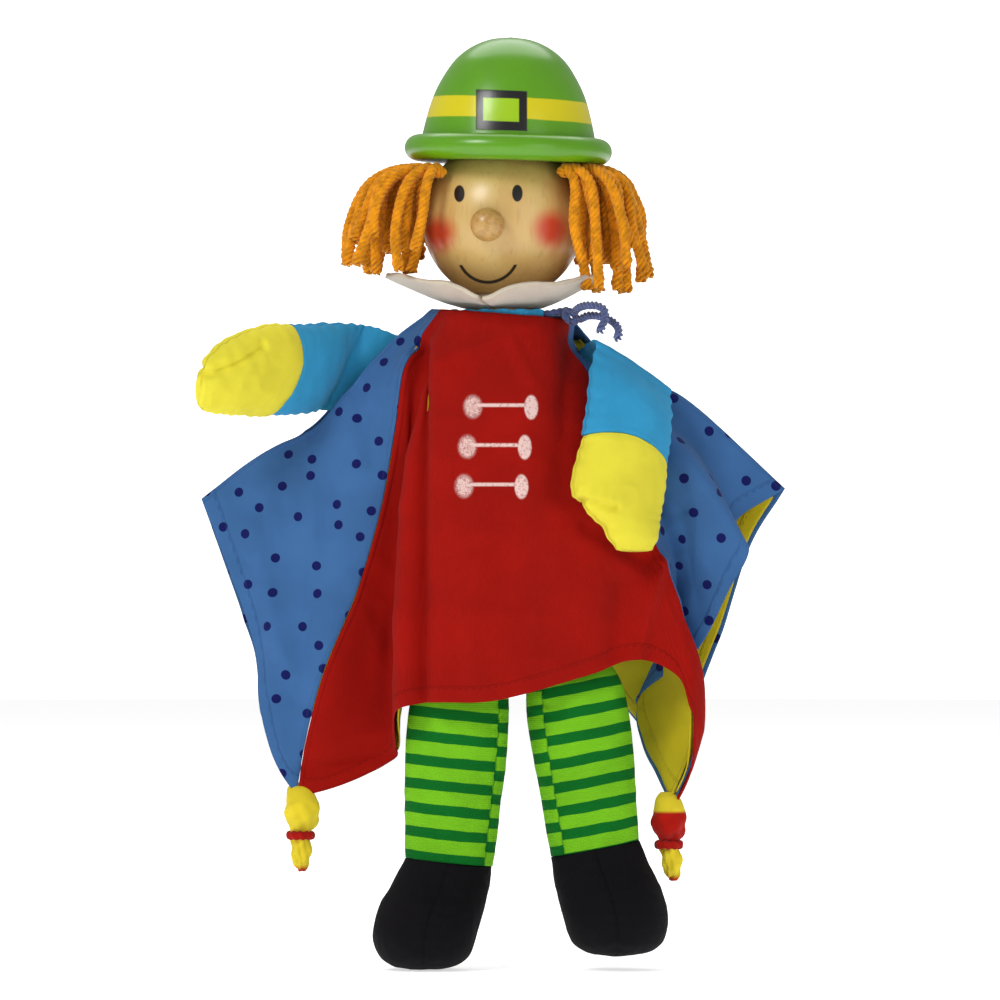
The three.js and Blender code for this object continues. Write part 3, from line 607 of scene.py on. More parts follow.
card = Paint("card_tube", (185, 164, 135), 0.8)
card.vary(card.object, 90.0, 0.12)
turns = card.noise(card.scaled(card.object, (1, 1, 6)), 160.0, 3.0)
card.paint_over(card.ramp(turns, 0.5, 0.8, 0, 0.3), (150, 128, 100))
card.height(turns, 0.15)
TUBE_LENGTH, TUBE_EDGE = 29.7, 0.3
tube_profile = [
    [TUBE_BORE, TUBE_EDGE], [TUBE_BORE + TUBE_EDGE, 0], [TUBE_OUTER - TUBE_EDGE, 0], [TUBE_OUTER, TUBE_EDGE],
    [TUBE_OUTER, TUBE_LENGTH - TUBE_EDGE], [TUBE_OUTER - TUBE_EDGE, TUBE_LENGTH],
    [TUBE_BORE + TUBE_EDGE, TUBE_LENGTH], [TUBE_BORE, TUBE_LENGTH - TUBE_EDGE], [TUBE_BORE, TUBE_EDGE],
]
finish_piece(revolve("neck_tube_card", tube_profile, 96), card.done(), "head", "neck_tube")

# ------------------------------------------------------------------ hat
hat_profile = [[25.6, 71.4], [30, 71.25]]
for k in range(25):
    angle = -math.pi / 2 + math.pi * k / 24
    hat_profile.append([33.8 + 4.8 * math.cos(angle), 76 + 4.8 * math.sin(angle)])
hat_profile.append([32.5, 80.4])
CROWN = [
    (1, 0), (0.97, 0.12), (0.93, 0.26), (0.86, 0.44), (0.76, 0.61),
    (0.63, 0.77), (0.46, 0.89), (0.25, 0.97), (0, 1),
]
crown = catmull([[32.2 * a, 80.8 + 37.2 * b] for a, b in CROWN], np.linspace(0, 8, 90))
hat_profile += [list(p) for p in crown[:-1]] + [[0, 118.0]]
under = [[0, 80.4]]
for k in range(1, 16):
    radius = 22.0 * k / 15
    under.append([radius, HEAD_HEIGHT + math.sqrt(30.7**2 - radius**2)])
hat = revolve("hat_turned", under + hat_profile, 160)
hat.data.transform(Matrix.Rotation(math.radians(1.5), 4, "Y"))
lacquer = Paint("hat_lacquer", (92, 156, 14), 0.3)
lacquer.shader.inputs["Coat Weight"].default_value = 0.2
lacquer.shader.inputs["Coat Roughness"].default_value = 0.18
lacquer.vary(lacquer.scaled(lacquer.object, (1, 1, 0.2)), 60.0, 0.06)
lacquer.height(lacquer.noise(lacquer.scaled(lacquer.object, (1, 1, 0.4)), 300.0, 3.0), 0.05)
x, y, z = lacquer.parts(lacquer.object)
slope = lacquer.math("MULTIPLY", x, 0.045)
wander = lacquer.math("MULTIPLY", lacquer.noise(lacquer.object, 60.0, 1.0), 0.7 * MM)
level = lacquer.math("ADD", lacquer.math("ADD", z, slope), wander)
stripe = rectangle(lacquer, 0.0, level, (0, 91.0), (5, 3.95))
lacquer.paint_over(stripe, (216, 202, 4))
forward = lacquer.ramp(y, 0.0, -0.002)
ring_mask = lacquer.math("MULTIPLY", rectangle(lacquer, x, level, (-0.5, 89.8), (9.4, 7.5)), forward)
lacquer.paint_over(ring_mask, (22, 20, 20))
window = lacquer.math("MULTIPLY", rectangle(lacquer, x, level, (-0.7, 90.0), (6.6, 4.3)), forward)
lacquer.paint_over(window, (158, 200, 16))
lacquer.height(ring_mask, 0.12)
finish_piece(hat, lacquer.done(), "head", "hat")

# ------------------------------------------------------------------ hair
yarn = Paint("wool_yarn", (230, 150, 20), 0.9)
yarn.shader.inputs["Sheen Weight"].default_value = 0.12
yarn.shader.inputs["Specular IOR Level"].default_value = 0.1
yarn.vary(yarn.object, 320.0, 0.28)
yarn.height(yarn.noise(yarn.scaled(yarn.object, (1, 1, 0.5)), 1700.0, 2.0), 0.4)
YARN = yarn.done()


YARN_RADIUS = 2.05
ROOT_OUT, ROOT_HEIGHT = 29.5, 66.5  # where a strand leaves the head, under the brim


def strand(azimuth, out, end_height, seed):
    """A strand from under the brim: up and out to the radius `out`, then down to end_height."""
    def at(degrees, r, height):
        a = math.radians(degrees)
        return np.array([r * math.cos(a), r * math.sin(a), height])

    wobble = [2.2 * math.sin(seed * 3.1 + k * 1.7) for k in range(6)]
    spread_out, fall = out - ROOT_OUT, ROOT_HEIGHT - end_height
    route = [
        at(azimuth, ROOT_OUT, ROOT_HEIGHT),
        at(azimuth + wobble[0] * 0.4, ROOT_OUT + 0.30 * spread_out, 68.5),
        at(azimuth + wobble[1], ROOT_OUT + 0.7 * spread_out, 63.42),
        at(azimuth + wobble[2], ROOT_OUT + 0.93 * spread_out + 0.5 * wobble[3], ROOT_HEIGHT - 0.58 * fall),
        at(azimuth + wobble[4], out + 0.6 + 0.5 * wobble[5], end_height),
    ]
    return yarn_points(smooth_path(route, 0.7), YARN_RADIUS, 4, 8.5, seed, fray=0.5)


def hair_side(name, node, rows):
    parts = []
    for k, (azimuth, out, end_height) in enumerate(rows):
        parts.append(strand(azimuth, out, end_height, 0.7 + 1.37 * k))
    made = make_object(name, *join_parts(parts))
    return finish_piece(made, YARN, "head", node)


def spread(first, last, count, outs, heights, seed):
    rows = []
    for k in range(count):
        t = k / (count - 1)
        jitter = math.sin(seed + 12.9 * k)
        out = outs[0] + (outs[1] - outs[0]) * (0.5 + 0.5 * math.sin(seed + 4.7 * k))
        high = heights[0] + (heights[1] - heights[0]) * (0.5 + 0.5 * math.cos(seed * 2 + 3.1 * k))
        rows.append((first + (last - first) * t + 1.5 * jitter, out, high))
    return rows


left_rows = spread(164, 212, 13, (50, 59), (32, 43), 0.4) + spread(160, 222, 14, (36, 49), (30, 38), 1.7)
right_rows = spread(-32, 14, 13, (45, 54), (24, 46), 2.2) + spread(-44, 18, 14, (35, 46), (23, 34), 3.4)
hair_side("hair_left_yarn", "hair_left", left_rows)
hair_side("hair_right_yarn", "hair_right", right_rows)
back_rows = spread(24, 154, 22, (40, 46), (38, 48), 5.1) + spread(20, 158, 22, (34, 39), (34, 42), 6.3)
hair_side("hair_back_yarn", "hair_back", back_rows)


# ------------------------------------------------------------------ sheets of cloth
def add_attribute(made, name, values):
    layer = made.data.attributes.new(name, "FLOAT", "POINT")
    layer.data.foreach_set("value", np.asarray(values, np.float32).ravel())


def thick_sheet(name, grid, normals, thickness, uv=None, edges=None, keep=None):
    """A closed sheet about a grid of points. uv is one pair per grid point, edges named distances,
    and keep says of a point whether the cloth is there."""
    nv, nu = grid.shape[0] - 1, grid.shape[1] - 1
    layer = (nu + 1) * (nv + 1)
    outer = (grid + normals * thickness / 2).reshape(-1, 3)
    inner = (grid - normals * thickness / 2).reshape(-1, 3)
    middle = grid.reshape(-1, 3)
    cells = [f for f in grid_faces(nu, nv) if keep is None or keep(middle[list(f)].mean(axis=0))]
    faces, sides = [], {}
    for a, b, c, d in cells:
        faces.append((a, d, c, b))
        faces.append((a + layer, b + layer, c + layer, d + layer))
        for edge in ((a, b), (b, c), (c, d), (d, a)):
            sides[edge] = sides.get(edge, 0) + 1
    for a, b in sides:
        if (b, a) not in sides:
            faces.append((a, b, b + layer, a + layer))
    pair = None if uv is None else np.concatenate([uv.reshape(-1, 2)] * 2)
    made = make_object(name, np.concatenate([outer, inner]), faces, pair)
    for key, values in (edges or {}).items():
        add_attribute(made, key, np.concatenate([values.ravel()] * 2))
    return outward(made)


def grid_lengths(grid):
    """Distances along the rows from the left and down the columns from the top, in millimetres."""
    across = np.zeros(grid.shape[:2])
    across[:, 1:] = np.cumsum(np.linalg.norm(np.diff(grid, axis=1), axis=-1), axis=1)
    down = np.zeros(grid.shape[:2])
    down[1:] = np.cumsum(np.linalg.norm(np.diff(grid, axis=0), axis=-1), axis=0)
    return across, down


def grid_area(grid):
    a = grid[1:, 1:] - grid[:-1, :-1]
    b = grid[1:, :-1] - grid[:-1, 1:]
    return float(np.linalg.norm(np.cross(a, b), axis=-1).sum() / 2)


def declare_sheet(grid):
    _, down = grid_lengths(grid)


def column(degrees, *lower):
    return [neck_point(degrees, 1, 14.5 - 2 * math.cos(math.radians(degrees))), *lower]


# Each column starts at the neck, at an angle, and runs down through six more points to the hem.
# The front half runs from the left shoulder line across the chest to the right shoulder line.
FRONT = np.array([
    column(184, (-41, -7, 5), (-57, -9, -13), (-72, -5, -29), (-82, -3, -33), (-95, -3, -41), (-112, -4, -54)),
    column(189, (-40, -10, 1), (-55, -12, -18), (-69, -10, -36), (-81, -9, -48), (-93, -8, -61), (-104, -7, -74)),
    column(195, (-38, -14, -1), (-50, -16, -24), (-62, -15, -46), (-73, -14, -67), (-83, -12, -88), (-92, -10, -108)),
    column(201, (-37, -17, -1), (-45, -19, -26), (-53, -19, -52), (-62, -18, -79), (-76, -17, -105), (-90, -15, -131)),
    column(207, (-35, -18, -2), (-40, -20, -29), (-45, -20, -57), (-54, -20, -88), (-67, -20, -120), (-77, -18, -161)),
    column(216, (-31, -20, -4), (-34, -19, -29), (-35, -17, -58), (-37, -15, -89), (-39, -14, -119), (-42, -14, -151)),
    column(232, (-29, -27, -5), (-32, -31, -30), (-34, -34, -57), (-35, -36, -84), (-37, -37, -109), (-37, -37, -131)),
    column(266, (-3, -34, -9), (-3, -39, -33), (-3, -41, -57), (-3, -42, -81), (-3, -43, -105), (-3, -43, -128)),
    column(296, (21, -28, -8), (24, -32, -31), (27, -34, -54), (30, -35, -76), (32, -35, -98), (34, -35, -118)),
    column(318, (29, -20, -8), (36, -24, -29), (43, -27, -50), (49, -28, -72), (51, -28, -94), (50, -27, -113)),
    column(326, (31, -18, -9), (41, -22, -34), (50, -25, -60), (57, -26, -83), (62, -26, -103), (65, -26, -120)),
    column(332, (32, -17, -10), (43, -21, -37), (53, -24, -66), (62, -25, -92), (69, -26, -116), (70, -26, -138)),
    column(338, (32, -16, -12), (45, -20, -39), (56, -23, -69), (67, -23, -97), (74, -20, -132), (66, -18, -165)),
    column(341, (32, -15, -12), (47, -17, -36), (57, -17, -64), (64, -15, -90), (64, -8, -118), (53, -2, -149)),
    column(344, (32.5, -13, -12), (49, -14, -33), (58, -13, -60), (64, -10, -83), (61, -2, -105), (50, 3, -130)),
    column(347, (33, -12, -12), (50, -15, -31), (60, -16, -52), (67, -16, -72), (70, -14, -92), (72, -12, -110)),
    column(350, (33, -12, -10), (51, -16, -26), (62, -18, -43), (71, -18, -58), (78, -18, -72), (84, -17, -87)),
    column(353, (33, -11, -8), (50, -15, -22), (62, -18, -33), (73, -19, -45), (82, -19, -58), (91, -19, -73)),
    column(356, (32, -9, -5), (49, -11, -18), (62, -10, -26), (71, -9, -37), (79, -9, -49), (86, -9, -63)),
    column(359, (31, -7, -3), (48, -8, -13), (63, -6, -15), (75, -5, -23), (90, -5, -36), (105, -5, -50)),
], float)
BACK = np.array([
    column(7, (40, 9, -3), (51, 7, -10), (63, 2, -14), (75, 0, -23), (90, -1, -36), (105, -2, -50)),
    column(14, (41, 13, -6), (52, 13, -20), (63, 11, -31), (74, 9, -44), (83, 8, -58), (92, 7, -72)),
    column(24, (40, 18, -8), (49, 20, -27), (58, 19, -46), (67, 16, -65), (75, 13, -86), (80, 10, -108)),
    column(36, (35, 23, -9), (41, 27, -33), (47, 28, -58), (54, 26, -84), (60, 21, -112), (61, 14, -146)),
    column(58, (21, 28, -9), (25, 34, -34), (28, 37, -58), (31, 38, -80), (33, 38, -101), (34, 38, -122)),
    column(90, (0, 31, -8), (0, 37, -31), (0, 40, -54), (0, 41, -76), (0, 42, -96), (0, 42, -114)),
    column(122, (-21, 28, -9), (-26, 34, -33), (-30, 37, -56), (-34, 38, -78), (-37, 38, -99), (-40, 38, -118)),
    column(144, (-35, 23, -9), (-43, 27, -32), (-52, 28, -56), (-62, 26, -80), (-73, 21, -107), (-86, 8, -139)),
    column(156, (-40, 18, -7), (-51, 20, -27), (-62, 19, -47), (-73, 16, -67), (-83, 12, -87), (-93, 6, -109)),
    column(166, (-41, 13, -3), (-55, 13, -20), (-69, 10, -37), (-81, 7, -49), (-93, 5, -61), (-105, 3, -74)),
    column(173, (-41, 9, 5), (-57, 7, -11), (-72, 1, -28), (-82, -1, -33), (-95, -1, -41), (-112, -2, -54)),
], float)
LEFT_SEAM, RIGHT_SEAM = 4, 12
LEFT_KNOT_TOP = np.array([-75, -17, -164.5])
RIGHT_KNOT_TOP = np.array([61.5, -16, -168.0])


def panel_grid(columns, first, last, counts, stand_back, v0=0.0, v1=1.0):
    """Points of the cloth between two columns, standing back from each by stand_back millimetres."""
    nu, nv = counts
    rows = catmull(np.swapaxes(columns, 0, 1), np.linspace(v0, v1, nv + 1) * 6)
    times = np.linspace(first, last, 24 * (last - first) + 1)
    dense = catmull(np.swapaxes(rows, 0, 1), times)
    grid = np.zeros((nv + 1, nu + 1, 3))
    for j in range(nv + 1):
        steps = np.linalg.norm(np.diff(dense[:, j], axis=0), axis=1)
        along = np.concatenate([[0], np.cumsum(steps)])
        ends = np.interp([stand_back[0], along[-1] - stand_back[1]], along, times)
        wanted = np.linspace(ends[0], ends[1], nu + 1)
        for k in range(3):
            grid[j, :, k] = np.interp(wanted, times, dense[:, j, k])
    return grid


# Folds that the hanging cloth keeps: (x, z) of both ends, half width and height, in millimetres.
FOLDS = [
    ((-30.5, 2), (-30.5, -132), 3.0, -6.0),
    ((-36.0, -8), (-36.5, -134), 4.0, 2.2),
    ((-11.5, -56), (-11, -124), 4.5, 1.3),
    ((57, -78), (49, -113), 3.2, 3.0),
    ((44, -86), (42, -110), 4.5, -2.4),
    ((31, -64), (54, -77), 3.6, -2.6),
    ((-24, -4), (11, 10), 2.6, 0.9),
    ((3, 5), (10, -10), 2.2, 1.0),
    ((26, 5), (20, -51), 4.5, -2.8),
    ((-75, -154), (-39, -149), 2.2, -1.9),
    ((-70, -146), (-42, -140), 4.0, 1.3),
    ((-54, -14), (-49, -40), 3.0, -1.8),
    ((-92, -66), (-80, -118), 4.0, 1.6),
    ((-62, -52), (-78, -128), 5.0, -1.6),
    ((66, -60), (72, -96), 4.0, -1.8),
]


def cloth_relief(points, front):
    """How far the cloth stands off its smooth shape at each point, in millimetres."""
    flat = points.reshape(-1, 3)
    soft = noise3(flat / 24.0, 3.0)
    falls = ridged(flat * np.array([1 / 13.0, 1 / 16.0, 1 / 60.0]) + 5.0, 7.0) - 0.55
    slack = ridged(flat * np.array([1 / 17.0, 1 / 20.0, 1 / 15.0]) + flat[:, [2, 0, 1]] / 40.0, 11.0) - 0.6
    gathers = noise3(flat * np.array([1 / 3.4, 1 / 3.4, 1 / 26.0]), 13.0)
    near_neck = np.clip(1 - (14 - flat[:, 2]) / 22.0, 0, 1)
    total = 1.2 * soft + 1.6 * falls + 1.2 * slack
    total = total * (1 - smoothstep(-10, 14, flat[:, 2])) + 0.45 * gathers * near_neck
    if front:
        for start, end, width, height in FOLDS:
            start, end = np.array(start, float), np.array(end, float)
            along = end - start
            place = flat[:, [0, 2]] - start
            share = np.clip(place @ along / (along @ along), 0, 1)
            distance = np.linalg.norm(place - share[:, None] * along, axis=1)
            total += height * np.exp(-((distance / width) ** 2))
    return total.reshape(points.shape[:-1])


def flattened(grid):
    """The grid laid flat without turning circles into ovals: one UV pair per point, in millimetres."""
    nv, nu = grid.shape[0] - 1, grid.shape[1] - 1
    sheet = make_object("flat_pattern", grid.reshape(-1, 3), grid_faces(nu, nv))
    sheet.data.uv_layers.new(name="UVMap")
    bpy.context.view_layer.objects.active = sheet
    sheet.select_set(True)
    bpy.ops.object.mode_set(mode="EDIT")
    bpy.ops.mesh.select_all(action="SELECT")
    bpy.ops.uv.unwrap(method="CONFORMAL", margin=0.0)
    bpy.ops.object.mode_set(mode="OBJECT")
    index = np.zeros(len(sheet.data.loops), int)
    sheet.data.loops.foreach_get("vertex_index", index)
    loops = np.zeros(len(index) * 2)
    sheet.data.uv_layers[0].data.foreach_get("uv", loops)
    flat = np.zeros((len(sheet.data.vertices), 2))
    flat[index] = loops.reshape(-1, 2)
    bpy.data.objects.remove(sheet)
    flat = flat.reshape(nv + 1, nu + 1, 2)
    a, b = flat[1:, 1:] - flat[:-1, :-1], flat[1:, :-1] - flat[:-1, 1:]
    area = abs(a[..., 0] * b[..., 1] - a[..., 1] * b[..., 0]).sum() / 2
    return flat * math.sqrt(grid_area(grid) / area)


def gathered(points, tops):
    """Draws the cloth in towards each knot."""
    out = points.copy()
    for top in tops:
        offset = out - top
        distance = np.linalg.norm(offset, axis=-1, keepdims=True)
        out = out - offset * 0.4 * (1 - smoothstep(4, 20, distance))
    return out


def cloth_panel(
    name, node, columns, first, last, counts, look, slot, inside=0.0, thickness=0.7, backs=(0.1, 0.1), v=(0, 1)
):
    """A panel between two columns of the garment; `inside` sets a lining back from the outer cloth."""
    grid = panel_grid(columns, first, last, counts, backs, *v)
    normals = grid_normals(grid)
    grid = gathered(grid, (LEFT_KNOT_TOP, RIGHT_KNOT_TOP))
    relief = cloth_relief(grid, columns is FRONT)
    placed = grid + normals * (relief - inside)[..., None]
    across, down = grid_lengths(grid)
    uv = flattened(grid) if look is BLUE else np.stack([across, -down], axis=-1)
    sides = np.minimum(across, across[:, -1:] - across)
    hem = down[-1:] - down
    made = thick_sheet(name, placed, grid_normals(placed), thickness, uv, {"side_mm": sides, "hem_mm": hem})
    finish_piece(made, look, "garment", node)
    declare_sheet(grid)


def sewn(paint, thread_rgb):
    """Turned edges and a hem: a ridge at each edge, a row of stitches and a line of painted shade where each turned
    edge ends.
    """
    for name, depth in (("side_mm", 1.6), ("hem_mm", 6.0)):
        distance = attribute(paint, name)
        fold = paint.ramp(distance, depth + 0.5, depth - 0.5)
        paint.height(fold, 0.35)
        from_edge = paint.math("ABSOLUTE", paint.math("SUBTRACT", distance, depth))
        # Painted shade: a darker line, in the thread colour, along the step where the turned edge ends.
        step_shade = paint.math("MULTIPLY", paint.ramp(from_edge, 0.7, 0.0), fold)
        paint.paint_over(paint.math("MULTIPLY", step_shade, 0.25), thread_rgb)
    u, _, _ = paint.parts(paint.uv)
    stitch = paint.math("SINE", paint.math("MULTIPLY", u, 2 * math.pi / (2.6 * MM)))
    row = paint.ramp(paint.math("ABSOLUTE", paint.math("SUBTRACT", attribute(paint, "hem_mm"), 5.2)), 0.45, 0.15)
    stitches = paint.math("MULTIPLY", row, paint.ramp(stitch, -0.2, 0.3))
    paint.paint_over(paint.math("MULTIPLY", stitches, 0.3), thread_rgb)
    paint.height(stitches, -0.2)


red = cotton("cotton_red_print", (160, 12, 2), sheen=0.02)
x, y, z = red.parts(red.object)
worn = red.ramp(red.noise(red.object, 900.0, 3.0, 0.7), 0.36, 0.5, 0.5, 1.0)
specks = red.ramp(red.noise(red.object, 2600.0, 2.0, 0.7), 0.38, 0.52, 0.35, 1.0)
facing = red.ramp(y, -0.018, -0.024)
PRINTS = [(-20.0, -11.1, 10.4), (-34.7, -13.1, 8.0), (-49.2, -14.3, 6.8)]
for height, left, right in PRINTS:
    oval = ellipse(red, x, z, (right, height - 0.2), (2.5, 4.4), 0.12)
    blob = red.math("MULTIPLY", ellipse(red, x, z, (left, height), (3.1, 3.9), 0.3), specks)
    bar = rectangle(red, x, z, ((left + right) / 2, height + 0.6), ((right - left) / 2 - 1.0, 0.62), 0.3)
    ink = red.math("MULTIPLY", red.math("MAXIMUM", red.math("MAXIMUM", oval, blob), bar), facing)
    red.paint_over(red.math("MULTIPLY", ink, worn), (238, 205, 198))
sewn(red, (120, 10, 4))
RED = red.done()
blue = cotton("cotton_blue_dots", (62, 106, 160), dots=(13.2, 1.75, (14, 20, 88)))
sewn(blue, (40, 72, 140))
BLUE = blue.done()
# Painted shade: the lining is the same yellow cloth as the knots (238, 214, 48), painted darker for the shade it hangs
# in.
shaded_yellow_lining = cotton("cotton_lining_yellow_shaded", (206, 186, 30))
sewn(shaded_yellow_lining, (160, 140, 24))
SHADED_LINING = shaded_yellow_lining.done()

FRONT_END, BACK_END = len(FRONT) - 1, len(BACK) - 1
cloth_panel("tunic_cloth", "tunic_front", FRONT, LEFT_SEAM, RIGHT_SEAM, (130, 130), RED, "cotton_red")
cloth_panel("left_panel_cloth", "left_panel", FRONT, 0, LEFT_SEAM, (60, 130), BLUE, "cotton_blue")
cloth_panel("right_panel_cloth", "right_panel", FRONT, RIGHT_SEAM, FRONT_END, (90, 130), BLUE, "cotton_blue")
cloth_panel("back_panel_cloth", "back_panel", BACK, 0, BACK_END, (150, 110), BLUE, "cotton_blue")
INNER = {"look": SHADED_LINING, "slot": "cotton_lining", "inside": 1.8, "thickness": 0.5, "v": (0.05, 0.985)}
cloth_panel("tunic_lining", "lining_front", FRONT, LEFT_SEAM, RIGHT_SEAM, (100, 100), backs=(1.6, 1.6), **INNER)
cloth_panel("left_lining", "lining_left", FRONT, 0, LEFT_SEAM, (50, 100), backs=(5, 1.6), **INNER)
cloth_panel("right_lining", "lining_right", FRONT, RIGHT_SEAM, FRONT_END, (70, 100), backs=(1.6, 5), **INNER)
cloth_panel("back_lining", "lining_back", BACK, 0, BACK_END, (110, 90), backs=(5, 5), **INNER)

# ------------------------------------------------------------------ collar, neck and glove
SLIT = 256


def collar_grid(nu, nv):
    u = np.linspace(0.004, 0.996, nu + 1)[None, :]
    v = np.linspace(0, 1, nv + 1)[:, None]
    angle = np.radians(SLIT + 360 * u)
    notch = 3.5 * np.exp(-((np.minimum(u, 1 - u) * 360 / 12) ** 2))
    side = np.cos(angle) ** 2
    back = np.maximum(np.sin(angle), 0)
    reach = 40.5 - 3.2 * np.cos(angle) - 3 * (1 - side) - notch
    radius = 13 + (reach - 13) * v
    rise = 7 + 5 * side + 2 * back * (1 - side) - 1.3 * notch
    height = 17.5 + rise * v**1.3
    wave = 0.5 * v**2 * np.sin(9 * angle + 0.7)
    return np.stack([radius * np.cos(angle), radius * np.sin(angle), height + wave], axis=-1)


felt = Paint("felt_cream", (218, 204, 182), 0.95)
felt.shader.inputs["Sheen Weight"].default_value = 0.6
felt.shader.inputs["Specular IOR Level"].default_value = 0.15
felt.vary(felt.object, 120.0, 0.06)
fibres = felt.noise(felt.object, 900.0, 5.0, 0.75)
felt.height(fibres, 0.5)
felt.paint_over(felt.ramp(felt.noise(felt.object, 500.0, 3.0), 0.5, 0.75, 0.0, 0.25), (196, 186, 160))
collar_points = collar_grid(220, 24)
collar_relief = noise3(collar_points.reshape(-1, 3) / 3.0, 4.0).reshape(collar_points.shape[:2]) * 0.12
collar_points = collar_points + grid_normals(collar_points) * collar_relief[..., None]
collar_uv = np.stack(grid_lengths(collar_points), axis=-1)
collar = thick_sheet("collar_felt", collar_points, grid_normals(collar_points), 1.5, collar_uv)
finish_piece(collar, felt.done(), "head", "collar")

SKY = cotton("cotton_sky", (52, 150, 198)).done()


def sky_sheet(name, node, grid, thickness, relief, keep=None):
    """A sheet of the light-blue cotton, fixed to the garment."""
    points = grid + grid_normals(grid) * relief[..., None]
    uv = np.stack(grid_lengths(points), axis=-1)
    made = thick_sheet(name, points, grid_normals(points), thickness, uv, keep=keep)
    return finish_piece(made, SKY, "garment", node)


u = np.linspace(0, 1, 331)[None, :]
v = np.linspace(0, 1, 15)[:, None]
angle = np.radians(CORD_EXIT + 15 + 330 * u)
gather = 0.945 + 0.009 * np.sin(46 * angle + 2.0 * np.sin(5 * angle)) * (1 - 0.4 * v)
band = np.stack([
    NECK_HALF_WIDTH * gather * np.cos(angle),
    NECK_CENTRE_Y + NECK_HALF_DEPTH * gather * np.sin(angle),
    16.2 - 4.2 * v + 0.25 * np.sin(23 * angle),
], axis=-1)
sky_sheet("neck_band_cloth", "neck_band", band, 0.8, np.zeros(band.shape[:2]))

casing = []
for k in range(41):
    t = 2 * math.pi * k / 40
    casing.append([13.0 + 1.15 * math.cos(t), 8.5 + 5.4 * math.sin(t)])
casing_body = revolve("neck_casing_cloth", casing, 160)
co = np.array([p.co for p in casing_body.data.vertices]) / MM
turn_angle = np.arctan2(co[:, 1], co[:, 0])
pleat = 1 + 0.012 * np.sin(34 * turn_angle) * (np.hypot(co[:, 0], co[:, 1]) > 13)
co[:, :2] *= pleat[:, None]
casing_body.data.vertices.foreach_set("co", (co * MM).astype(np.float32).ravel())
finish_piece(casing_body, SKY, "neck", "neck_casing")


def glove_grid(start, nu, nv):
    u = np.linspace(0, 1, nu + 1)[None, :]
    v = np.linspace(0, 1, nv + 1)[:, None]
    height = 9 - 109 * v + 0 * u
    wide = 20.5 + 6.5 * np.minimum(v / 0.18, 1) + 5 * v
    angle = np.radians(start + 0.2 + 179.6 * u)
    return np.stack([wide * np.cos(angle), -2 * v + 16.5 * np.sin(angle), height], axis=-1)


def clear_of_armholes(point):
    """False in the oval on each side of the glove where a sleeve is sewn in."""
    return abs(point[0]) < 17 or ((point[1] - 1) / 7.2) ** 2 + ((point[2] + 8) / 12) ** 2 > 1


for name, node, start in (("glove_front_cloth", "glove_front", 180), ("glove_back_cloth", "glove_back", 0)):
    grid = glove_grid(start, 110, 100)
    relief = noise3(grid.reshape(-1, 3) / 14.0, 8.0).reshape(grid.shape[:2]) * 0.5
    made = sky_sheet(name, node, grid, 0.8, relief - 0.3, keep=clear_of_armholes)
    declare_sheet(grid)

yoke_u = np.linspace(-28, 38, 67)[None, :]
yoke_v = np.linspace(-82.2, -111.8, 31)[:, None]
yoke = np.stack([yoke_u + 0 * yoke_v, -19.75 + 0 * yoke_u + 0 * yoke_v, yoke_v + 0 * yoke_u], axis=-1)
yoke_relief = noise3(yoke.reshape(-1, 3) / 9.0, 21.0).reshape(yoke.shape[:2]) * 0.12
made = sky_sheet("leg_yoke_cloth", "leg_yoke", yoke, 0.8, yoke_relief)
declare_sheet(yoke)

# ------------------------------------------------------------------ stuffed limbs
def ring_normals(grid):
    """Outward normals of rings of points stored along a limb."""
    along = np.gradient(grid, axis=0)
    around = np.roll(grid, -1, axis=1) - np.roll(grid, 1, axis=1)
    return unit(np.cross(around, along))


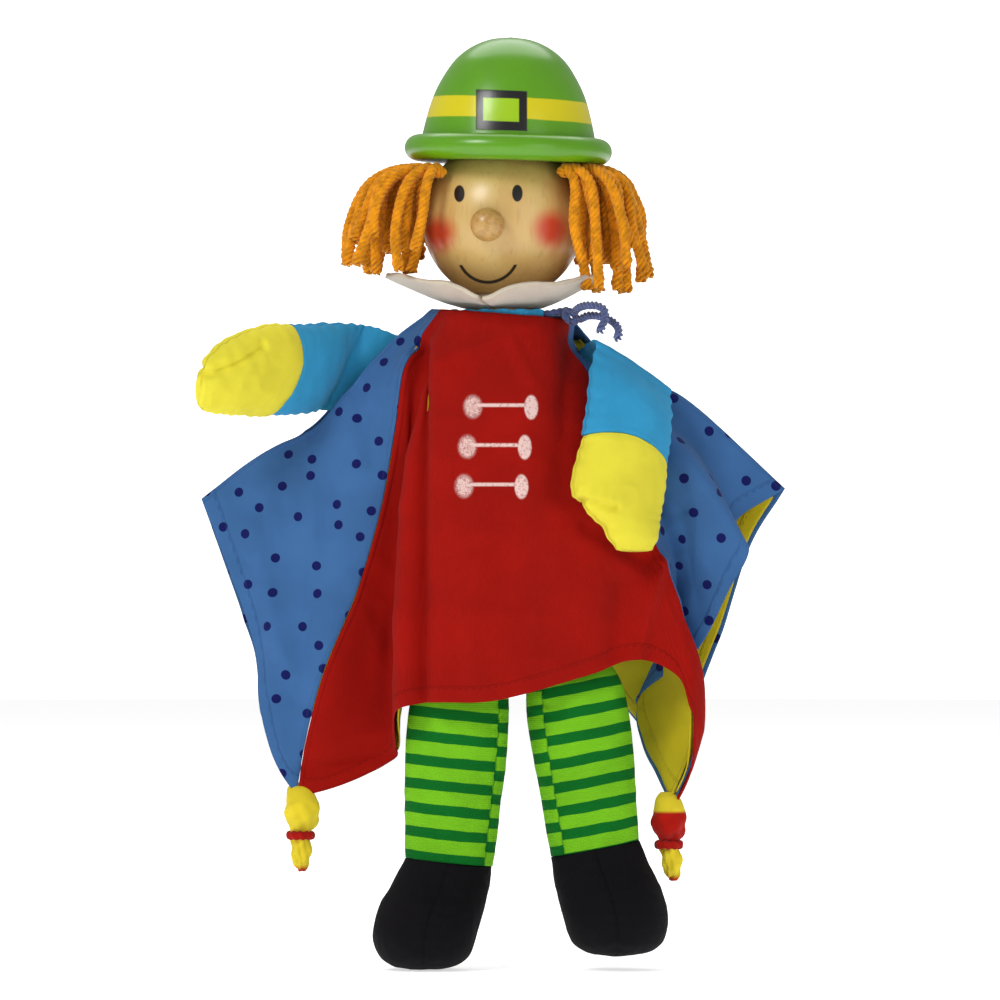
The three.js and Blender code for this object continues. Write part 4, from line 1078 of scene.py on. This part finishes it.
def stuffed(
    name, stations, counts, relief, seam_at=(0.0, math.pi), seam_depth=0.7, pucker=0.5, cap=(0.6, 0.6), shape=None
):
    """A padded piece through elliptic stations of (centre, long half axis, short half axis).

    Seams run along it at the given angles; the cloth dips into them and puckers beside them."""
    around, along = counts
    flat = np.array([np.concatenate(station) for station in stations], float)
    rows = catmull(flat, np.linspace(0, len(flat) - 1, along + 1))
    centre, long_axis, short_axis = rows[:, :3], rows[:, 3:6], rows[:, 6:]
    theta = np.arange(around) * 2 * np.pi / around
    cosine, sine = np.cos(theta)[None, :, None], np.sin(theta)[None, :, None]
    grid = centre[:, None] + long_axis[:, None] * cosine + short_axis[:, None] * sine
    if shape:
        grid = shape(grid)
    normals = ring_normals(grid)
    if np.sum(normals * (grid - centre[:, None])) < 0:
        normals = -normals
    _, down = grid_lengths(grid)
    around_mm = np.zeros(grid.shape[:2])
    around_mm[:, 1:] = np.cumsum(np.linalg.norm(np.diff(grid, axis=1), axis=-1), axis=1)
    middle_down = down.mean(axis=1, keepdims=True) + 0 * down
    offset = relief(grid)
    share_along = np.linspace(0, 1, along + 1)[:, None]
    ends = smoothstep(0, 0.05, share_along) * smoothstep(1, 0.95, share_along)
    seam_distance = np.full(grid.shape[:2], 1e3)
    for seam in seam_at:
        gap = np.abs((theta - seam + np.pi) % (2 * np.pi) - np.pi)[None, :]
        girth = np.linalg.norm(np.roll(grid, -1, axis=1) - grid, axis=-1).sum(axis=1, keepdims=True)
        gap_mm = gap / (2 * np.pi) * girth
        seam_distance = np.minimum(seam_distance, gap_mm)
    phase = 2 * np.pi * middle_down / 5.2 + 1.3 * np.sin(middle_down / 4.1)
    offset = offset + ends * (
        pucker * np.sin(phase) * np.exp(-seam_distance / 4.5) - seam_depth * np.exp(-((seam_distance / 1.1) ** 2))
    )
    placed = grid + normals * offset[..., None]
    points = placed.reshape(-1, 3)
    faces = grid_faces(around, along, wrap=True)
    uv = np.stack([around_mm, -middle_down], axis=-1).reshape(-1, 2)
    seams = seam_distance.ravel()
    for row, step, bulge in ((0, -1, cap[0]), (along, 1, cap[1])):
        ring = placed[row]
        hub = ring.mean(axis=0)
        outward_way = unit(centre[row] - centre[row - step])
        previous = np.arange(around) + row * around
        for share, rise in ((0.8, 0.6), (0.5, 0.9), (0.2, 1.0)):
            start = len(points)
            extra = hub + (ring - hub) * share + outward_way * bulge * rise
            points = np.concatenate([points, extra])
            uv = np.concatenate([uv, uv[previous]])
            seams = np.concatenate([seams, seams[previous]])
            now = np.arange(around) + start
            for i in range(around):
                k = (i + 1) % around
                faces.append((int(previous[i]), int(previous[k]), int(now[k]), int(now[i])))
            previous = now
        faces.append(tuple(int(i) for i in previous))
    made = make_object(name, points, faces, uv)
    add_attribute(made, "seam_mm", seams)
    first = seam_at[0] if len(seam_at) == 1 else 0.0
    back_half = ((theta - first) % (2 * np.pi) < np.pi).astype(float)
    add_attribute(made, "behind", np.tile(back_half, len(points) // around))
    return outward(made)


def crumple(scale, amount, seed, streak=(1.0, 1.0, 1.0)):
    """Relief of slack cloth over stuffing."""
    def relief(grid):
        flat = grid.reshape(-1, 3) * np.array(streak) / scale
        rough = noise3(flat, seed) * 0.7 + (ridged(flat * 1.9 + 3.0, seed + 1) - 0.6) * 0.6
        return (amount * rough).reshape(grid.shape[:2])

    return relief


ARM_LENGTH, ARM_WIDTH, ARM_THICKNESS, CUFF_SHARE, LOWER_START = 71, 36, 17, 0.45, 1.5
CUFF_SQUARING, TIP_SQUARING = 0.6, 0.9
CUFF_BOW = 4.5  # how far the cuff seam bows towards the sleeve on the two broad faces
ARMS = {
    "left": {
        "shoulder": (-29, 1, -7), "bend": (-43, 1, -6), "across": (0, 0, -1),
        "crease": ((-52, 0, 11), (-66.5, 0, -21)), "reach": (-0.72, -0.66, -0.03),
    },
    "right": {
        "shoulder": (34, 2, -6.5), "bend": (41.5, -7, -3.6), "across": (0.8, 0, -0.6),
        "crease": ((33, -34, 5.5), (63.5, -22, -14.5)), "reach": (-0.1, -0.2, -0.97),
    },
}


def crease_frame(arm):
    top, bottom = (np.array(p, float) for p in arm["crease"])
    reach = unit(np.array(arm["reach"], float))
    fold = unit(bottom - top)
    wide = unit(fold - reach * np.dot(fold, reach))
    return (top + bottom) / 2, reach, wide, unit(np.cross(reach, wide)), fold


def arm_stations(arm, shares):
    middle, reach, wide, thick, fold = crease_frame(arm)
    made = []
    for share, width, depth, shift in shares:
        t = min(max(share, 0) / CUFF_SHARE, 1) * CUFF_SQUARING
        t += max(share - CUFF_SHARE, 0) / (1 - CUFF_SHARE) * TIP_SQUARING
        across = unit(fold * (1 - t) + wide * t)
        centre = middle + reach * (LOWER_START + (ARM_LENGTH - LOWER_START) * share)
        centre = centre + across * shift * ARM_WIDTH / 2
        made.append((centre, across * width * ARM_WIDTH / 2, thick * depth * ARM_THICKNESS / 2))
    return made


# The loose upper sleeve: share of its length, half width and half thickness.
UPPER_SHAPE = [(0, 10, 1.8), (0.25, 12, 1.8), (0.5, 14, 1.8), (0.75, 16, 1.9), (0.93, 17.2, 1.4), (1.0, 17.5, 0.8)]


def upper_stations(arm):
    middle, _, _, _, fold = crease_frame(arm)
    line = smooth_path([arm["shoulder"], arm["bend"], middle], 0.25)
    tangents = unit(np.gradient(line, axis=0))
    made = []
    for share, half_width, half in UPPER_SHAPE:
        k = int(round(share * (len(line) - 1)))
        wide = unit(np.array(arm["across"]) * (1 - share) + fold * share)
        made.append((line[k], wide * half_width, unit(np.cross(tangents[k], wide)) * half))
    return made


def seamed(paint, thread_rgb, width=0.7):
    distance = attribute(paint, "seam_mm")
    line = paint.ramp(distance, width, width * 0.3)
    paint.paint_over(paint.math("MULTIPLY", line, 0.55), thread_rgb)
    return paint


SLEEVE = seamed(cotton("cotton_sky_sleeve", (52, 152, 200)), (20, 90, 130)).done()
MITTEN = seamed(cotton("cotton_yellow_mitten", (236, 224, 64)), (188, 168, 30)).done()
SLEEVE_SHARES = [
    (-0.024, 0.97, 0.1, 0), (0.02, 0.985, 0.28, 0), (0.06, 1.0, 0.5, 0), (0.13, 1.01, 0.84, 0),
    (0.23, 1.0, 1.02, 0), (0.446, 0.98, 1.0, 0),
]
MITTEN_SHARES = {
    "left": [
        (0.452, 0.97, 0.98, 0), (0.49, 0.98, 1.08, 0), (0.55, 0.98, 1.12, 0), (0.64, 0.95, 1.08, 0.02),
        (0.76, 0.86, 1.0, 0.08), (0.87, 0.73, 0.84, 0.18), (0.94, 0.6, 0.64, 0.28), (0.985, 0.42, 0.34, 0.36),
    ],
    "right": [
        (0.452, 0.97, 0.98, 0), (0.49, 1.0, 1.08, -0.02), (0.55, 1.02, 1.12, -0.04), (0.66, 1.04, 1.08, -0.09),
        (0.74, 0.99, 1.0, -0.06), (0.80, 0.82, 0.92, 0.1), (0.86, 0.64, 0.84, 0.28), (0.93, 0.54, 0.66, 0.38),
        (0.985, 0.42, 0.34, 0.44),
    ],
}
PINCHES = {"left": ((0.66, -0.62), (1.0, 0.05)), "right": ((0.77, -1.1), (0.79, -0.28))}


def arm_place(arm, grid):
    """Each point's share of the arm's length and its place across it, from -1 to 1."""
    middle, reach, wide, _, _ = crease_frame(arm)
    share = ((grid - middle) @ reach - LOWER_START) / (ARM_LENGTH - LOWER_START)
    return share, (grid - middle) @ wide / (ARM_WIDTH / 2)


def bowed(arm):
    """Both faces of the arm pushed towards the sleeve about the cuff seam."""
    def shape(grid):
        share, across = arm_place(arm, grid)
        near = np.exp(-(((share - CUFF_SHARE) / 0.2) ** 2))
        push = CUFF_BOW * near * np.clip(1 - across**2, 0, 1)
        return grid - crease_frame(arm)[1] * push[..., None]

    return shape


def mitten_relief(arm, pinch, seed):
    """Slack cloth with the thumb's seam pinched in along a line from the first place to the second."""
    slack = crumple(11.0, 0.6, seed)
    scale = np.array([ARM_LENGTH, ARM_WIDTH / 2])
    start, end = (np.array(p) * scale for p in pinch)

    def relief(grid):
        share, across = arm_place(arm, grid)
        place = np.stack([share, across], axis=-1) * scale - start
        along = np.clip(place @ (end - start) / ((end - start) @ (end - start)), 0, 1)
        distance = np.linalg.norm(place - along[..., None] * (end - start), axis=-1)
        groove = -2.0 * np.exp(-((distance / 1.6) ** 2))
        puckers = 0.22 * np.sin(along * 24) * np.exp(-((distance / 5.0) ** 2))
        return slack(grid) + groove + puckers

    return relief


for side, arm in ARMS.items():
    seed = 31.0 if side == "left" else 47.0
    upper = stuffed(
        side + "_upper_sleeve_cloth", upper_stations(arm), (72, 70), crumple(9.0, 0.45, seed),
        seam_depth=0.2, pucker=0.2, cap=(0.1, 0.1),
    )
    finish_piece(upper, SLEEVE, side + "_arm_root", side + "_upper_sleeve")
    lower = stuffed(
        side + "_sleeve_padded", arm_stations(arm, SLEEVE_SHARES), (128, 70), crumple(10.0, 0.6, seed + 2),
        cap=(0.1, 0.0), shape=bowed(arm),
    )
    finish_piece(lower, SLEEVE, side + "_arm", side + "_sleeve")
    mitten = stuffed(
        side + "_mitten_padded", arm_stations(arm, MITTEN_SHARES[side]), (144, 130),
        mitten_relief(arm, PINCHES[side], seed + 5), seam_depth=0.6, pucker=0.3, cap=(0.0, 0.6), shape=bowed(arm),
    )
    finish_piece(mitten, MITTEN, side + "_arm", side + "_mitten")

# ------------------------------------------------------------------ legs and shoes
HIP_HEIGHT, HIP_Y = -112, -20
LEG_HALF_WIDTH, LEG_HALF_DEPTH = 18.3, 13.5
# A leg: share of its length, width and depth.
LEG_SHAPE = [
    (0, 0.66, 0.10), (0.05, 0.80, 0.5), (0.14, 0.96, 0.86), (0.28, 1.02, 1),
    (0.5, 1.02, 1.04), (0.75, 0.96, 1), (1, 0.88, 0.95),
]
# A shoe: share of its height, of its sideways shift, width, depth and how far forward, in millimetres.
SHOE_SHAPE = [
    (0, 0, 0.88, 0.95, 0), (0.2, 0.3, 0.97, 1.15, -3), (0.45, 0.75, 1.06, 1.45, -8), (0.7, 1, 1.05, 1.55, -11),
    (0.87, 1, 0.92, 1.35, -12), (0.96, 1, 0.68, 1, -12), (1, 1, 0.34, 0.55, -12),
]
STRIPE = 8.9


def jersey(name, slope, origin):
    """Striped knit: stripes cross the front with the given slope and miss each other at the seam."""
    paint = Paint(name, (122, 198, 32), 0.88)
    paint.shader.inputs["Specular IOR Level"].default_value = 0.12
    x, _, z = paint.parts(paint.object)
    wander = paint.math("MULTIPLY", paint.noise(paint.object, 90.0, 2.0), 0.9 * MM)
    level = paint.math("ADD", paint.math("ADD", z, wander), paint.math("MULTIPLY", x, -slope))
    behind = paint.ramp(attribute(paint, "behind"), 0.45, 0.55)
    level = paint.math("ADD", level, paint.math("MULTIPLY", behind, 0.36 * STRIPE * MM))
    phase = paint.math("FRACT", paint.math("ADD", paint.math("DIVIDE", level, STRIPE * MM), 100 - origin / STRIPE))
    stripe = paint.ramp(paint.math("ABSOLUTE", paint.math("SUBTRACT", phase, 0.5)), 0.235, 0.205)
    paint.paint_over(stripe, (8, 108, 34))
    paint.vary(paint.object, 60.0, 0.10)
    u, v, _ = paint.parts(paint.uv)
    wale = paint.math("SINE", paint.math("MULTIPLY", u, 2 * math.pi / (0.9 * MM)))
    course = paint.math("MULTIPLY_ADD", v, 2 * math.pi / (0.7 * MM), paint.math("MULTIPLY", wale, 1.2))
    paint.height(paint.math("MULTIPLY", wale, paint.math("SINE", course)), 0.10)
    paint.height(paint.noise(paint.object, 80.0, 3.0), 0.5)
    return seamed(paint, (8, 90, 34), 0.6).done()


SHOE = seamed(cotton("cotton_black_shoe", (14, 12, 17), sheen=0.0, creases=0.3), (3, 3, 5)).done()

LEGS = [
    ("left", -15, -20, -29, -188, -227, -0.10, -137.6 - 0.10 * 17.1, -0.62),
    ("right", 25, 34, 42, -183, -222, 0.19, -132.6 - 0.19 * 30.6, -(math.pi - 0.81)),
]
for side, top_x, ankle_x, toe_x, ankle_z, sole_z, slope, origin, seam_angle in LEGS:
    seed = 61.0 if side == "left" else 73.0
    top = HIP_HEIGHT - 0.3
    stations = []
    for share, wide, deep in LEG_SHAPE:
        centre = (top_x + (ankle_x - top_x) * share, HIP_Y, top + (ankle_z - top) * share)
        half = LEG_HALF_WIDTH * wide
        stations.append((centre, (half, 0, half * slope * share**2), (0, LEG_HALF_DEPTH * deep, 0)))
    leg = stuffed(
        side + "_leg_padded", stations, (144, 150), crumple(12.0, 0.6, seed, (1, 1, 0.8)),
        seam_at=(seam_angle,), seam_depth=0.5, pucker=0.25, cap=(0.05, 0.5),
    )
    finish_piece(leg, jersey(side + "_jersey", slope, origin), side + "_leg", side + "_leg")
    stations = []
    start = ankle_z - 0.3
    for drop, shift, wide, deep, forward_by in SHOE_SHAPE:
        centre = (ankle_x + (toe_x - ankle_x) * shift, HIP_Y + forward_by, start + (sole_z - start) * drop)
        half = LEG_HALF_WIDTH * wide
        stations.append((centre, (half, 0, half * slope * (1 - drop) ** 2), (0, LEG_HALF_DEPTH * deep, 0)))
    shoe = stuffed(
        side + "_shoe_padded", stations, (160, 110), crumple(10.0, 0.5, seed + 4),
        seam_at=(math.pi / 2, -math.pi / 2), seam_depth=0.3, pucker=0.2, cap=(0.3, 0.2),
    )
    finish_piece(shoe, SHOE, side + "_leg", side + "_shoe")

# ------------------------------------------------------------------ knots
KNOT_RADIUS = 6


def knot_material(name, side, top_z, tip_z):
    """Yellow lining with a red tip, and red cloth wound round the right-hand knot."""
    paint = cotton(name, (238, 214, 48))
    _, _, height = paint.parts(paint.object)
    paint.paint_over(paint.ramp(height, (tip_z + 1.2) * MM, (tip_z - 1.2) * MM), (190, 40, 14))
    if side == "right":
        under_top = paint.ramp(height, (top_z - 1.0) * MM, (top_z - 2.4) * MM)
        over_end = paint.ramp(height, (top_z - 13.6) * MM, (top_z - 12.8) * MM)
        wound = paint.math("MULTIPLY", under_top, over_end)
        paint.paint_over(wound, (176, 20, 8))
    return paint.done()


def knot_piece(side, top, tail_length, lean):
    """A corner of cloth pulled through a knot: a wrapped ball, a pinched neck and a loose end."""
    top = np.array(top, float)
    start = top[2] - 2 * KNOT_RADIUS
    bag = 0.8 if side == "left" else 0.0
    shape = [  # height, half width, half depth and shift sideways
        (top[2] + 5.5, 2.6, 1.6, -0.6), (top[2] + 3.5, 4.4, 3.2, -0.4), (top[2], 5.6, 4.8, 0.5 * bag),
        (top[2] - 4, 6.3, 5.7, bag), (top[2] - 8, 6.1, 5.7, bag), (top[2] - 10.5, 4.9, 4.7, 0.5 * bag),
        (start - 0.5, 3.5, 3.3, 0), (start - 3, 3.3, 3.0, 0), (start - 5.5, 3.7, 2.8, lean * 0.4),
        (start - 0.6 * tail_length, 3.5, 2.6, lean * 0.6), (start - 0.85 * tail_length, 2.6, 2.0, lean * 0.9),
        (start - tail_length, 0.9, 0.8, lean),
    ]
    stations = [((top[0] + aside, top[1], z), (rx, 0, 0), (0, ry, 0)) for z, rx, ry, aside in shape]

    def wraps(grid):
        angle = np.arctan2(grid[..., 1] - top[1], grid[..., 0] - top[0])
        fall = top[2] - grid[..., 2]
        turns = np.sin(3 * angle + fall * 0.75) * 0.45 + np.sin(7 * angle - fall * 0.5) * 0.2
        return turns * smoothstep(0.5, 3, fall)

    made = stuffed(side + "_knot_cloth", stations, (72, 110), wraps, seam_at=(), cap=(0.1, 0.2))
    look = knot_material(side + "_knot_cotton", side, top[2], start - tail_length * 0.92)
    finish_piece(made, look, side + "_corner", side + "_knot")
    band_stations = []
    low, high = start - 3.5, start - 0.3
    for z, grow in ((high, 0.25), (high - 0.5, 1.35), (high - 1.6, 1.7), (low + 0.5, 1.4), (low, 0.25)):
        band_stations.append(((top[0], top[1], z), (3.6 + grow, 0, 0), (0, 3.4 + grow, 0)))

    def folds(grid):
        angle = np.arctan2(grid[..., 1] - top[1], grid[..., 0] - top[0])
        return 0.22 * np.sin(9 * angle + 0.8 * grid[..., 2])

    wrap = stuffed(side + "_knot_band_cloth", band_stations, (72, 26), folds, seam_at=(), cap=(-0.3, -0.3))
    band_look = cotton(side + "_band_cotton", (176, 20, 8)).done()
    finish_piece(wrap, band_look, side + "_corner", side + "_knot_band")


knot_piece("left", LEFT_KNOT_TOP, 15, 0.5)
knot_piece("right", RIGHT_KNOT_TOP, 15, 1.8)
